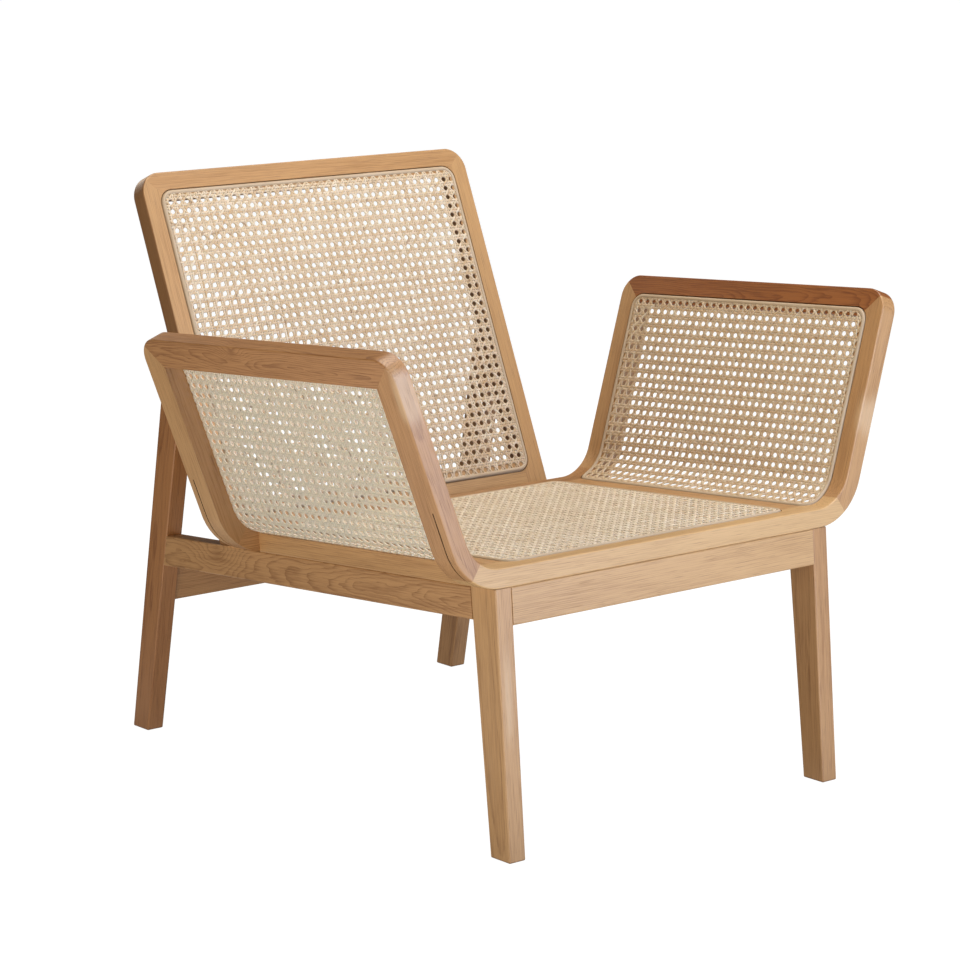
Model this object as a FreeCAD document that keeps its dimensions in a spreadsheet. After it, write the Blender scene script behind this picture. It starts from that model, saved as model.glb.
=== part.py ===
"""Cane lounge chair: a U-shaped seat-and-arm shell and a reclined back, both caned, on a four-legged base.

Lengths are in millimetres and angles in degrees. X runs across the chair, Y from front to back, Z up.
Every driving size is a cell of the sheet; formulas tie each piece to those cells.
"""
import math
import os

import FreeCAD
import Part
import Sketcher

SIZES = {
    # Frame stock: thickness and width of the members, and the softening of their edges
    "stock": 24,
    "member": 37,
    "arris": 2,
    # Base: legs stand in from the seat's side rails, and the rear legs stand behind the back's foot
    "leg_thick": 25,
    "leg_inset": 2,
    "front_foot": 34.5,
    "front_leg_top": 45,
    "front_setback": 31.3,
    "rear_foot": 33,
    "leg_gap": 135.8,
    "rear_front_rake": 9.65,
    "rear_back_rake": 8.72,
    "side_rail_height": 39.5,
    "front_apron_height": 45,
    "rear_apron_height": 50,
    "rear_apron_floor": 179,
    "rear_apron_inset": 4,
    # Shell: seat and arms, tilted back as one
    "seat_front": 322,
    "tilt": 4.5,
    "shell_depth": 484,
    "hoop_span": 637.5,
    "bend": 78,
    "lean": 19.55,
    "arm_straight": 242,
    "arm_corner": 30,
    "seat_strip": 33,
    "seat_lip": 4.8,
    # Cane panels: wood left outside the spline, spline and its groove
    "margin": 24.5,
    "spline": 6,
    "spline_corner": 20,
    "groove": 4,
    "proud": 1.2,
    "cane": 1.2,
    "arm_spline_foot": 2,
    # Open weave of seat and back, as a coarse grid of square openings: how many each way, and an
    # opening's side as a share of its pitch
    "openings": 12,
    "openness": 0.46,
    # Back: its foot stands behind the shell, and its length runs up the front face
    "back_gap": 30.8,
    "recline": 23.35,
    "back_length": 493.7,
    "back_inset": 3.9,
    "back_member": 34,
    "back_margin": 23.6,
    "back_foot_margin": 33.9,
    "back_foot_rail": 50,
    # Joinery
    "fit": 0.1,
    "dowel": 8,
    "dowel_length": 36,
    "dowel_spacing": 18,
    "tenon_length": 30,
    "tenon_width": 18,
    "tenon_thick": 8,
    "key_thick": 2,
    "key_depth": 10,
    "key_setback": 11,
    "key_recess": 0.6,
    "key_tail": 50,
    "screw": 4.5,
    "screw_head": 8.4,
    "screw_head_height": 3.2,
    "screw_length": 38,
    "screw_bite": 14,
    "back_screw_seat": 20,
    "back_screw_low": 42,
    "back_screw_pitch": 20,
}

# A sketch's own origin, as its constraints name it: the axes, and their crossing point
AXES = -1
CROSSING = 1

# How far cutting tools reach past the faces they cut
OVERSHOOT = 1.0
CLEAR = 60.0

NODES = {}

doc = FreeCAD.newDocument("CaneLoungeChair")
sheet = doc.addObject("Spreadsheet::Sheet", "Sizes")
for row, (alias, value) in enumerate(SIZES.items(), 1):
    sheet.set("A%d" % row, str(value))
    sheet.setAlias("A%d" % row, alias)
doc.recompute()


def size(alias):
    """Formula that reads one cell of the sheet."""
    return "Sizes.%s" % alias


def value(formula):
    """Number a formula gives at the present sizes."""
    return float(sheet.evalExpression(str(formula)))


def place(x, y, z, axis="0; 0; 1", angle="0"):
    """Formula of a placement: a shift and a turn about an axis."""
    return "placement(vector(%s; %s; %s); rotation(vector(%s); %s))" % (x, y, z, axis, angle)


def chain(*steps):
    """Formula of placements applied one inside the other."""
    return " * ".join(step for step in steps if step)


# Formulas shared by several pieces
T = size("stock")
W = size("member")
COS_TILT = "cos(Sizes.tilt)"
SIN_TILT = "sin(Sizes.tilt)"
DEPTH = size("shell_depth")
TURN = "(90 - Sizes.lean)"
BEND = size("bend")
BEND_IN = "(Sizes.bend - Sizes.stock)"
BEND_X = "(Sizes.hoop_span / 2 - Sizes.bend * tan((90 - Sizes.lean) / 2))"
ARM = size("arm_straight")
MID_ARC = "(1 - sqrt(0.5))"

# Across the chair: the seat's cane, its side rails, the legs and the back all follow the hoop's bend
SEAT_HALF = "(%s + Sizes.arm_spline_foot - Sizes.seat_strip)" % BEND_X
SEAT_IN = "(%s - (Sizes.member - Sizes.margin))" % SEAT_HALF
SEAT_OUT = "(%s + Sizes.arm_spline_foot + Sizes.spline + Sizes.seat_lip)" % BEND_X
LEG_OUT = "(%s - Sizes.leg_inset)" % SEAT_OUT
LEG_IN = "(%s - Sizes.leg_thick)" % LEG_OUT
RAIL_IN = "(%s - Sizes.stock)" % LEG_OUT
RAIL_MID = "(%s - Sizes.stock / 2)" % LEG_OUT
BACK_HALF = "(%s - Sizes.back_inset)" % LEG_OUT

# From front to back: distances along the side rails' tops, then runs behind the hoop's front edge and heights
BACK_D = "(Sizes.shell_depth + Sizes.back_gap)"
LEG_D = "(%s + Sizes.leg_gap)" % BACK_D
BACK_RISE = "(Sizes.seat_front - %s * %s)" % (BACK_D, SIN_TILT)
LEG_RISE = "(Sizes.seat_front - %s * %s)" % (LEG_D, SIN_TILT)
FOOT_RUN = "(%s * %s + %s * tan(Sizes.rear_front_rake))" % (LEG_D, COS_TILT, LEG_RISE)
BACK_TOP_RUN = "(%s * %s + Sizes.back_length * sin(Sizes.recline))" % (BACK_D, COS_TILT)
BACK_TOP = "(%s + Sizes.back_length * cos(Sizes.recline))" % BACK_RISE
REAR_RUN = "max(%s + Sizes.rear_foot; %s + Sizes.stock * cos(Sizes.recline))" % (FOOT_RUN, BACK_TOP_RUN)
HALF_BOX = "((Sizes.front_setback + %s) / 2)" % REAR_RUN
HOOP_Y = "(Sizes.front_setback - %s)" % HALF_BOX

# Frames of the shell, the back and the two arms
SHELL = place("0", HOOP_Y, size("seat_front"), "1; 0; 0", "-Sizes.tilt")
BACK = place("0", "%s + %s" % (HOOP_Y, BACK_TOP_RUN), BACK_TOP, "1; 0; 0", "-Sizes.recline")
ARM_STEP = place(BEND_X, "0", BEND, "0; 1; 0", size("lean"))
HALF_TURN = place("0", DEPTH, "0", "0; 0; 1", "180")
ARMS = {"right": chain(SHELL, ARM_STEP), "left": chain(SHELL, HALF_TURN, ARM_STEP)}
SIDES = {"left": "-1", "right": "1"}


def outline(body, name, role, corners, offset="0", lean="0"):
    """Closed sketch on an origin plane of the body. A corner is (across, up), or (across, up, radius, turn)
    where the run to the next corner is an arc that turns left (1) or right (-1). The plane may be offset
    along its normal, and leaned about its upright axis."""
    sketch = body.newObject("Sketcher::SketchObject", name)
    plane = [item for item in body.Origin.OriginFeatures if item.Role == role][0]
    sketch.AttachmentSupport = [(plane, "")]
    sketch.MapMode = "FlatFace"
    sketch.setExpression("AttachmentOffset", place("0", "0", offset, "0; 1; 0", lean))
    spots = [FreeCAD.Vector(value(corner[0]), value(corner[1]), 0) for corner in corners]
    count = len(corners)
    runs = []
    ends = []
    for index, corner in enumerate(corners):
        start = spots[index]
        stop = spots[(index + 1) % count]
        if len(corner) == 2:
            runs.append(Part.LineSegment(start, stop))
            ends.append((1, 2))
            continue
        radius = value(corner[2])
        half = (stop - start) / 2
        lift = math.sqrt(max(radius * radius - half.Length * half.Length, 0))
        side = FreeCAD.Vector(-half.y, half.x, 0).normalize() * lift * corner[3]
        centre = start + half + side
        first, last = (start, stop) if corner[3] > 0 else (stop, start)
        circle = Part.Circle(centre, FreeCAD.Vector(0, 0, 1), radius)
        runs.append(Part.ArcOfCircle(circle, circle.parameter(first), circle.parameter(last)))
        ends.append((1, 2) if corner[3] > 0 else (2, 1))
    sketch.addGeometry(runs, False)
    ties = []
    bound = []
    for index, corner in enumerate(corners):
        after = (index + 1) % count
        ties.append(Sketcher.Constraint("Coincident", index, ends[index][1], after, ends[after][0]))
        for kind, letter, formula, number in (("DistanceX", "x", corner[0], spots[index].x),
                                              ("DistanceY", "y", corner[1], spots[index].y)):
            bound.append((len(ties), "%s%d" % (letter, index), formula))
            ties.append(Sketcher.Constraint(kind, AXES, CROSSING, index, ends[index][0], number))
        if len(corner) > 2:
            bound.append((len(ties), "r%d" % index, corner[2]))
            ties.append(Sketcher.Constraint("Radius", index, value(corner[2])))
    sketch.addConstraint(ties)
    for index, label, formula in bound:
        sketch.renameConstraint(index, label)
        sketch.setExpression("Constraints.%s" % label, formula)
    return sketch


def blank(name, frame=""):
    """Empty body placed in a frame."""
    body = doc.addObject("PartDesign::Body", name + "_blank")
    if frame:
        body.setExpression("Placement", frame)
    return body


def pad(body, sketch, length):
    """Solid along the plane's growing axis: X, Y or Z."""
    solid = body.newObject("PartDesign::Pad", sketch.Name + "_pad")
    solid.Profile = sketch
    solid.setExpression("Length", length)
    solid.Reversed = sketch.AttachmentSupport[0][0].Role == "XZ_Plane"
    body.Tip = solid
    doc.recompute()
    return solid


def pocket(body, sketch, length):
    """Cut from the sketch against its plane's normal; it must take something away."""
    before = body.Shape.Volume
    hollow = body.newObject("PartDesign::Pocket", sketch.Name + "_cut")
    hollow.Profile = sketch
    hollow.setExpression("Length", length)
    body.Tip = hollow
    doc.recompute()
    if body.Shape.Volume >= before:
        raise RuntimeError(body.Label + ": the cut takes nothing away")
    return hollow


def soften(body, mates, radius):
    """Round the sharp edges between faces that meet no other piece. Slanting flat faces are mitres and cuts,
    and faces that look along one of the mates' directions are joints."""
    shape = body.Tip.Shape

    def joint(face, spot):
        normal = face.normalAt(*face.Surface.parameter(spot))
        slanting = max(abs(part) for part in normal) < SLANT
        if isinstance(face.Surface, Part.Plane) and slanting:
            return True, normal
        return any(normal.dot(FreeCAD.Vector(*mate)) > FACING for mate in mates), normal

    chosen = []
    for index, edge in enumerate(shape.Edges, 1):
        spot = edge.valueAt((edge.FirstParameter + edge.LastParameter) / 2)
        faces = shape.ancestorsOfType(edge, Part.Face)
        if len(faces) != 2:
            continue
        (first_joint, first), (second_joint, second) = [joint(face, spot) for face in faces]
        if not first_joint and not second_joint and abs(first.dot(second)) < SHARP:
            chosen.append("Edge%d" % index)
    round_off(body, chosen, radius)


# A face is slanting when no part of its normal reaches SLANT, faces a mate's direction past FACING, and an
# edge is sharp when the normals either side of it agree less than SHARP
SLANT = 0.95
FACING = 0.9
SHARP = 0.7


def round_off(body, edges, radius):
    """Fillet on named edges of the body's last feature."""
    base = body.Tip
    fillet = body.newObject("PartDesign::Fillet", body.Name + "_round")
    fillet.Base = (base, edges)
    fillet.setExpression("Radius", radius)
    body.Tip = fillet
    doc.recompute()


def fitted(label, body, tools):
    """Piece cut with the sockets and grooves of its neighbours."""
    cut = doc.addObject("Part::Cut", label)
    cut.Base = body
    cut.Tool = tools
    cut.Label = label
    NODES[label] = cut


def whole(label, item):
    """Piece that needs no further cut."""
    item.Label = label
    NODES[label] = item


def group(label, pattern, spots):
    """Separate copies of one pattern solid at the given placements."""
    copies = []
    for index, spot in enumerate(spots, 1):
        copy = doc.addObject("App::Link", "%s_%d" % (label, index))
        copy.LinkedObject = pattern
        copy.setExpression("Placement", spot)
        copies.append(copy)
    bundle = doc.addObject("Part::Compound", label)
    bundle.Links = copies
    bundle.Label = label
    return bundle


def bundle_of(label, items):
    """Tools or pieces collected without joining them."""
    bundle = doc.addObject("Part::Compound", label)
    bundle.Links = items
    return bundle


def rod(label, radius, length):
    """Cylinder centred on its own origin along Z."""
    body = blank(label)
    sketch = body.newObject("Sketcher::SketchObject", label + "_ring")
    plane = [item for item in body.Origin.OriginFeatures if item.Role == "XY_Plane"][0]
    sketch.AttachmentSupport = [(plane, "")]
    sketch.MapMode = "FlatFace"
    sketch.setExpression("AttachmentOffset.Base.z", "-(%s) / 2" % length)
    sketch.addGeometry(Part.Circle(FreeCAD.Vector(0, 0, 0), FreeCAD.Vector(0, 0, 1), value(radius)), False)
    sketch.addConstraint(Sketcher.Constraint("Coincident", 0, 3, AXES, CROSSING))
    sketch.addConstraint(Sketcher.Constraint("Radius", 0, value(radius)))
    sketch.renameConstraint(1, "radius")
    sketch.setExpression("Constraints.radius", radius)
    pad(body, sketch, length)
    return body


def block(label, length, width, thick):
    """Box centred on its own origin, length along Z, width along Y, thickness along X."""
    body = blank(label)
    half_length = "(%s) / 2" % length
    half_width = "(%s) / 2" % width
    corners = [("-" + half_width, "-" + half_length), (half_width, "-" + half_length),
               (half_width, half_length), ("-" + half_width, half_length)]
    pad(body, outline(body, label + "_face", "YZ_Plane", corners, "-(%s) / 2" % thick), thick)
    return body


def turned(label, corners):
    """Solid of revolution about Z from a half section in the XZ plane."""
    body = blank(label)
    sketch = outline(body, label + "_section", "XZ_Plane", corners)
    spin = body.newObject("PartDesign::Revolution", label + "_spin")
    spin.Profile = sketch
    spin.ReferenceAxis = (sketch, ["V_Axis"])
    spin.Angle = 360
    body.Tip = spin
    doc.recompute()
    return body


def rectangle(left, right, low, high):
    """Corners of a rectangle, counter-clockwise."""
    return [(left, low), (right, low), (right, high), (left, high)]


def slab(label, role, corners, start, length, frame=""):
    """Body padded from one outline."""
    body = blank(label, frame)
    pad(body, outline(body, label + "_outline", role, corners, start), length)
    return body


def panel(label, role, corners, start, length, corner, frame):
    """Thin sheet with its four corners rounded in its own face; the corner edges are its shortest ones."""
    body = slab(label, role, corners, start, length, frame)
    edges = body.Tip.Shape.Edges
    shortest = sorted(range(len(edges)), key=lambda index: edges[index].Length)[:len(corners)]
    round_off(body, ["Edge%d" % (index + 1) for index in shortest], corner)
    return body


def without(label, base, tool):
    """One solid with another taken away."""
    cut = doc.addObject("Part::Cut", label)
    cut.Base = base
    cut.Tool = tool
    return cut


# Joinery patterns
DOWEL_BORE = "Sizes.dowel / 2 + Sizes.fit"
dowel = rod("dowel", "Sizes.dowel / 2", size("dowel_length"))
dowel_bore = rod("dowel_bore", DOWEL_BORE, "Sizes.dowel_length + Sizes.dowel / 4")
tenon = block("tenon", size("tenon_length"), size("tenon_width"), size("tenon_thick"))
tenon_slot = block("tenon_slot", "Sizes.tenon_length + Sizes.dowel / 4", "Sizes.tenon_width + 2 * Sizes.fit",
                   "Sizes.tenon_thick + 2 * Sizes.fit")
SHANK = "Sizes.screw / 2"
HEAD = "Sizes.screw_head / 2"
TIP = "Sizes.screw_length"
screw = turned("screw", [("0", "0"), (HEAD, "0"), (SHANK, size("screw_head_height")),
                         (SHANK, TIP + " - " + SHANK), ("0", TIP)])
screw_bore = turned("screw_bore", [
    ("0", "-%s" % CLEAR), (HEAD + " + Sizes.fit", "-%s" % CLEAR), (HEAD + " + Sizes.fit", "0"),
    (SHANK + " + Sizes.fit", size("screw_head_height")), (SHANK + " + Sizes.fit", TIP + " + Sizes.fit"),
    ("0", TIP + " + Sizes.fit")])


def sockets(label, pattern, bore, spots):
    """Group of joinery pieces as a node, and the group of sockets they sit in."""
    NODES[label] = group(label, pattern, spots)
    return group(label + "_bores", bore, spots)


ALONG_X = ("0; 1; 0", "90")
ALONG_Y = ("1; 0; 0", "-90")

# Front leg's edges seen in the shell's frame: how far a foot stands ahead of and below the hoop's front edge
FOOT_STEP = "(Sizes.front_foot - Sizes.front_setback)"
BACK_EDGE_D = "(%s * %s + Sizes.seat_front * %s)" % (FOOT_STEP, COS_TILT, SIN_TILT)
BACK_EDGE_H = "(Sizes.seat_front * %s - %s * %s)" % (COS_TILT, FOOT_STEP, SIN_TILT)
FRONT_EDGE_D = "(Sizes.seat_front * %s - Sizes.front_setback * %s)" % (SIN_TILT, COS_TILT)
FRONT_EDGE_H = "(Sizes.seat_front * %s + Sizes.front_setback * %s)" % (COS_TILT, SIN_TILT)


def front_joint(drop):
    """Where the front leg's back edge stands, a drop below the shell's underside."""
    return "(Sizes.front_leg_top + (%s - Sizes.front_leg_top) * (%s) / %s)" % (BACK_EDGE_D, drop, BACK_EDGE_H)


def front_face(drop):
    """Where the front leg's front edge stands, a drop below the shell's underside."""
    return "(%s * (%s) / %s)" % (FRONT_EDGE_D, drop, FRONT_EDGE_H)


def rear_joint(drop):
    """Where the rear leg's front edge stands, a drop below the shell's underside."""
    return "(%s + (%s) * tan(Sizes.rear_front_rake + Sizes.tilt))" % (LEG_D, drop)


def rear_front_y(height):
    """Rear leg's front edge at a height above the floor."""
    return "(%s + %s - (%s) * tan(Sizes.rear_front_rake))" % (HOOP_Y, FOOT_RUN, height)


# Rear leg's wedge: heights where its edges meet the back's rear face
TAN_RECLINE = "tan(Sizes.recline)"
WEDGE_RUN = "(%s - %s * %s - Sizes.stock / cos(Sizes.recline) + %s * %s)" % (
    FOOT_RUN, BACK_D, COS_TILT, BACK_RISE, TAN_RECLINE)
WEDGE_LOW = "(%s / (%s + tan(Sizes.rear_front_rake)))" % (WEDGE_RUN, TAN_RECLINE)
WEDGE_TIP = "((%s + Sizes.rear_foot) / (%s + tan(Sizes.rear_back_rake)))" % (WEDGE_RUN, TAN_RECLINE)
TIP_DROP = "((%s - Sizes.stock * sin(Sizes.recline) - %s) / cos(Sizes.recline))" % (BACK_TOP, WEDGE_TIP)

# Foot of the back on the side rails
BACK_SLOPE = "tan(Sizes.recline - Sizes.tilt)"
BACK_DROP = size("back_length")
BACK_FOOT_MID = "(%s + Sizes.stock / 2 / cos(Sizes.recline - Sizes.tilt))" % BACK_D

# Base joinery
side_spots = []
apron_spots = []
screw_spots = []
PAIR = ("-", "+")
RAIL_DROPS = ["(Sizes.side_rail_height %s Sizes.dowel_spacing) / 2" % way for way in PAIR]
APRON_DROPS = ["(Sizes.front_apron_height %s Sizes.dowel_spacing) / 2" % way for way in PAIR]
REAR_DROPS = ["(Sizes.rear_apron_height %s Sizes.dowel_spacing) / 2" % way for way in PAIR]
SCREW_LIFT = "(Sizes.screw_bite - Sizes.screw_length)"
QUARTER = "%s / 4" % DEPTH
for sign in SIDES.values():
    middle = "%s * %s" % (sign, RAIL_MID)
    inner = "%s * %s" % (sign, LEG_IN)
    for drop in RAIL_DROPS:
        for joint in (front_joint(drop), rear_joint(drop)):
            side_spots.append(chain(SHELL, place(middle, joint, "-(%s)" % drop, *ALONG_Y)))
    for drop in APRON_DROPS:
        spot = place(inner, "%s + Sizes.stock / 2" % front_face(drop), "-(%s)" % drop, *ALONG_X)
        apron_spots.append(chain(SHELL, spot))
    for drop in REAR_DROPS:
        height = "Sizes.rear_apron_floor + " + drop
        depth = "%s + Sizes.rear_apron_inset + Sizes.stock / 2" % rear_front_y(height)
        apron_spots.append(place(inner, depth, height, *ALONG_X))
    for distance in (QUARTER, "3 * " + QUARTER, BACK_FOOT_MID):
        screw_spots.append(chain(SHELL, place(middle, distance, SCREW_LIFT)))
    screw_spots.append(chain(SHELL, place("%s * %s / 2" % (sign, SEAT_HALF), "Sizes.stock / 2", SCREW_LIFT)))

# Back joinery
BACK_INNER = "(%s - Sizes.back_member)" % BACK_HALF
back_tenon_spots = []
back_dowel_spots = []
back_screw_spots = []
BACK_MITRE = "(Sizes.back_member / 2 + Sizes.arm_corner * %s / 2)" % MID_ARC
FOOT_DOWELS = ["-%s + (Sizes.back_foot_rail %s Sizes.dowel_spacing) / 2" % (BACK_DROP, way) for way in PAIR]
for sign in SIDES.values():
    mitre = place("%s * (%s - %s)" % (sign, BACK_HALF, BACK_MITRE), "Sizes.stock / 2", "-" + BACK_MITRE,
                  "0; 1; 0", "%s * -45" % sign)
    upright = place("0", "0", "0", "0; 0; 1", "90")
    back_tenon_spots.append(chain(BACK, mitre, upright))
    for level in FOOT_DOWELS:
        spot = place("%s * %s" % (sign, BACK_INNER), "Sizes.stock / 2", level, *ALONG_X)
        back_dowel_spots.append(chain(BACK, spot))
    for index in ("0", "1"):
        level = "-(%s + Sizes.back_screw_low + Sizes.back_screw_pitch * %s)" % (TIP_DROP, index)
        across = "%s * %s" % (sign, RAIL_MID)
        spot = place(across, "Sizes.stock + Sizes.back_screw_seat", level, "1; 0; 0", "90")
        back_screw_spots.append(chain(BACK, spot))

# Shell joinery
SEAT_MID = "((%s + %s) / 2)" % (SEAT_IN, SEAT_OUT)
ARM_MITRE = "(Sizes.member / 2 + Sizes.arm_corner * %s / 2)" % MID_ARC
seat_spots = []
arm_tenon_spots = []
for side, sign in SIDES.items():
    for joint in (W, "(%s - %s)" % (DEPTH, W)):
        for way in PAIR:
            across = "%s * (%s %s Sizes.dowel_spacing)" % (sign, SEAT_MID, way)
            seat_spots.append(chain(SHELL, place(across, joint, "Sizes.stock / 2", *ALONG_Y)))
    near = place("Sizes.bend - Sizes.stock / 2", ARM_MITRE, "%s - %s" % (ARM, ARM_MITRE), "1; 0; 0", "45")
    far = place("Sizes.bend - Sizes.stock / 2", "%s - %s" % (DEPTH, ARM_MITRE), "%s - %s" % (ARM, ARM_MITRE),
                "1; 0; 0", "-45")
    arm_tenon_spots += [chain(ARMS[side], near), chain(ARMS[side], far)]


def feather(label, inset, deep, thick):
    """Strip that follows the outside of a bend, across its mitre, in the frame of the shell's right side."""
    outer = "(%s - (%s))" % (BEND, inset)
    inner = "(%s - (%s))" % (BEND, deep)
    tail = size("key_tail")
    sine = "cos(Sizes.lean)"
    cosine = "sin(Sizes.lean)"

    def after(radius, run):
        across = "%s + %s * %s + %s * sin(Sizes.lean)" % (BEND_X, radius, sine, run)
        up = "%s - %s * %s + %s * cos(Sizes.lean)" % (BEND, radius, cosine, run)
        return across, up

    start_x = "%s - %s" % (BEND_X, tail)
    corners = [(start_x, "%s - %s" % (BEND, outer)), (BEND_X, "%s - %s" % (BEND, outer), outer, 1),
               after(outer, "0"), after(outer, tail), after(inner, tail), after(inner, "0") + (inner, -1),
               (BEND_X, "%s - %s" % (BEND, inner)), (start_x, "%s - %s" % (BEND, inner))]
    return slab(label, "XZ_Plane", corners, "(%s) / 2" % thick, thick)


key = feather("key", size("key_recess"), size("key_depth"), size("key_thick"))
key_slot = feather("key_slot", "-%s" % OVERSHOOT, "Sizes.key_depth + Sizes.fit",
                   "Sizes.key_thick + 2 * Sizes.fit")
KEY_FRONT = place("0", size("key_setback"), "0")
KEY_REAR = place("0", "%s - Sizes.key_setback" % DEPTH, "0")
key_spots = [chain(SHELL, turn, step) for turn in ("", HALF_TURN) for step in (KEY_FRONT, KEY_REAR)]


def corner_cut(across, up, radius):
    """Outline that takes a square corner off a sheet and leaves a round one. Each way is given as the place
    of the corner and the sense (1 or -1) that leads into the sheet."""
    (a, into_a), (b, into_b) = across, up
    past_a = "%s - (%s)" % (a, into_a * OVERSHOOT)
    past_b = "%s - (%s)" % (b, into_b * OVERSHOOT)
    end_a = "%s + %s * (%s)" % (a, into_a, radius)
    end_b = "%s + %s * (%s)" % (b, into_b, radius)
    arc = (end_a, b, radius, -into_a * into_b)
    return [(past_a, past_b), (end_a, past_b), arc, (a, end_b), (past_a, end_b)]


# Grooves, splines and cane of the three kinds of panel
def arm_sheet(label, inner, outer, inset, corner, side):
    """Curved sheet on an arm's inner face, from the seat round the bend to the top rail."""
    foot = "(%s - (Sizes.arm_spline_foot + %s) / %s / pi * 180)" % (TURN, inset, BEND_IN)
    top = "(%s - Sizes.margin - %s)" % (ARM, inset)

    def low(radius):
        return "%s * cos(%s)" % (radius, foot), "-%s * sin(%s)" % (radius, foot)

    corners = [low(outer) + (outer, 1), (outer, "0"), (outer, top), (inner, top), (inner, "0", inner, -1),
               low(inner)]
    near = "(Sizes.margin + %s)" % inset
    far = "(%s - Sizes.margin - %s)" % (DEPTH, inset)
    body = slab(label, "XZ_Plane", corners, "-" + near, "%s - %s" % (far, near), ARMS[side])
    edge = "(%s * sin(%s - %s))" % (BEND_IN, TURN, foot)
    for name, level, inward in (("near", near, 1), ("far", far, -1)):
        high = corner_cut((level, inward), (top, -1), corner)
        past = "%s + %s" % (outer, OVERSHOOT)
        through = outline(body, "%s_high_%s" % (label, name), "YZ_Plane", high, past)
        pocket(body, through, "%s - (%s) + 2 * %s" % (outer, inner, OVERSHOOT))
        deep = corner_cut((edge, 1), (level, inward), corner)
        pocket(body, outline(body, "%s_low_%s" % (label, name), "XY_Plane", deep, "0", "-Sizes.lean"), past)
    return body


def seat_sheet(label, low, high, inset, corner):
    """Flat sheet on the seat."""
    half = "(%s - %s)" % (SEAT_HALF, inset)
    near = "(Sizes.margin + %s)" % inset
    corners = rectangle("-" + half, half, near, "%s - %s" % (DEPTH, near))
    return panel(label, "XY_Plane", corners, low, "%s - (%s)" % (high, low), corner, SHELL)


def back_sheet(label, front, rear, inset, corner):
    """Flat sheet on the back's front face."""
    half = "(%s - Sizes.back_margin - %s)" % (BACK_HALF, inset)
    corners = rectangle("-" + half, half, "-%s + Sizes.back_foot_margin + %s" % (BACK_DROP, inset),
                        "-Sizes.back_margin - %s" % inset)
    return panel(label, "XZ_Plane", corners, "-(%s)" % front, "%s - (%s)" % (rear, front), corner, BACK)


SPLINE_IN = size("spline")
CORNER = size("spline_corner")
CORNER_IN = "(Sizes.spline_corner - Sizes.spline)"


def ring(label, sheet_of, surface_low, surface_high, shrink):
    """Closed strip round a panel: an outer sheet with the inner sheet taken out of it."""
    outside = sheet_of(label + "_outside", surface_low, surface_high, shrink, "%s - %s" % (CORNER, shrink))
    low = "(%s - %s)" % (surface_low, OVERSHOOT)
    high = "(%s + %s)" % (surface_high, OVERSHOOT)
    inset = "(%s - %s)" % (SPLINE_IN, shrink)
    inside = sheet_of(label + "_inside", low, high, inset, "(%s + %s)" % (CORNER_IN, shrink))
    return without(label, outside, inside)


THROUGH = "(Sizes.cane + 2 * %s)" % OVERSHOOT
COLUMNS = SIZES["openings"]


def steps(first, last, count):
    """Pitch of an even row between two ends, and the middles of its parts."""
    pitch = "((%s - (%s)) / %d)" % (last, first, count)
    return pitch, ["(%s + %s * %d / 2)" % (first, pitch, 2 * number + 1) for number in range(count)]


def opening(label, long, wide, thick):
    """Cutter for one opening: its sides are shares of the pitches, or reach through the sheet."""
    sides = [side if side == THROUGH else "Sizes.openness * %s" % side for side in (long, wide, thick)]
    return block(label, *sides)


def seat_openings():
    """Grid over the seat's clear field."""
    pitch, across = steps("-" + SEAT_IN, SEAT_IN, COLUMNS)
    pitch_deep, deep = steps(W, "%s - %s" % (DEPTH, W), COLUMNS)
    row = group("seat_openings_row", opening("seat_opening", THROUGH, pitch_deep, pitch),
                [place(spot, "0", "%s + Sizes.cane / 2" % T) for spot in across])
    return group("seat_openings", row, [chain(SHELL, place("0", spot, "0")) for spot in deep])


def back_openings():
    """Grid over the back's clear field."""
    pitch, across = steps("-" + BACK_INNER, BACK_INNER, COLUMNS)
    pitch_up, up = steps("Sizes.back_foot_rail - " + BACK_DROP, "-Sizes.back_member", COLUMNS)
    row = group("back_openings_row", opening("back_opening", pitch_up, THROUGH, pitch),
                [place(spot, "-Sizes.cane / 2", "0") for spot in across])
    return group("back_openings", row, [chain(BACK, place("0", "0", spot)) for spot in up])


def caned(name, sheet_of, bottom, top, outward, inward, openings=None):
    """Spline, groove and cane of one panel, between the groove's floor and the spline's crown."""
    whole(name + "_spline", ring(name + "_spline", sheet_of, bottom, top, size("fit")))
    field = sheet_of(name + "_sheet", outward, inward, SPLINE_IN, CORNER_IN)
    whole(name + "_cane", without(name + "_cane", field, openings) if openings else field)
    return ring(name + "_groove", sheet_of, bottom, top, "0")


def arm_sheet_on(side):
    """Sheet maker for one arm."""
    return lambda label, low, high, inset, corner: arm_sheet(label, low, high, inset, corner, side)


seat_groove = caned("seat", seat_sheet, "(%s - Sizes.groove)" % T, "(%s + Sizes.proud)" % T,
                    T, "(%s + Sizes.cane)" % T, seat_openings())
back_groove = caned("back", back_sheet, "(-Sizes.proud)", size("groove"), "(-Sizes.cane)", "0",
                    back_openings())
arm_grooves = {}
for side in SIDES:
    arm_grooves[side] = caned("arm_%s" % side, arm_sheet_on(side), "(%s - Sizes.proud)" % BEND_IN,
                              "(%s + Sizes.groove)" % BEND_IN, "(%s - Sizes.cane)" % BEND_IN, BEND_IN)

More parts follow.
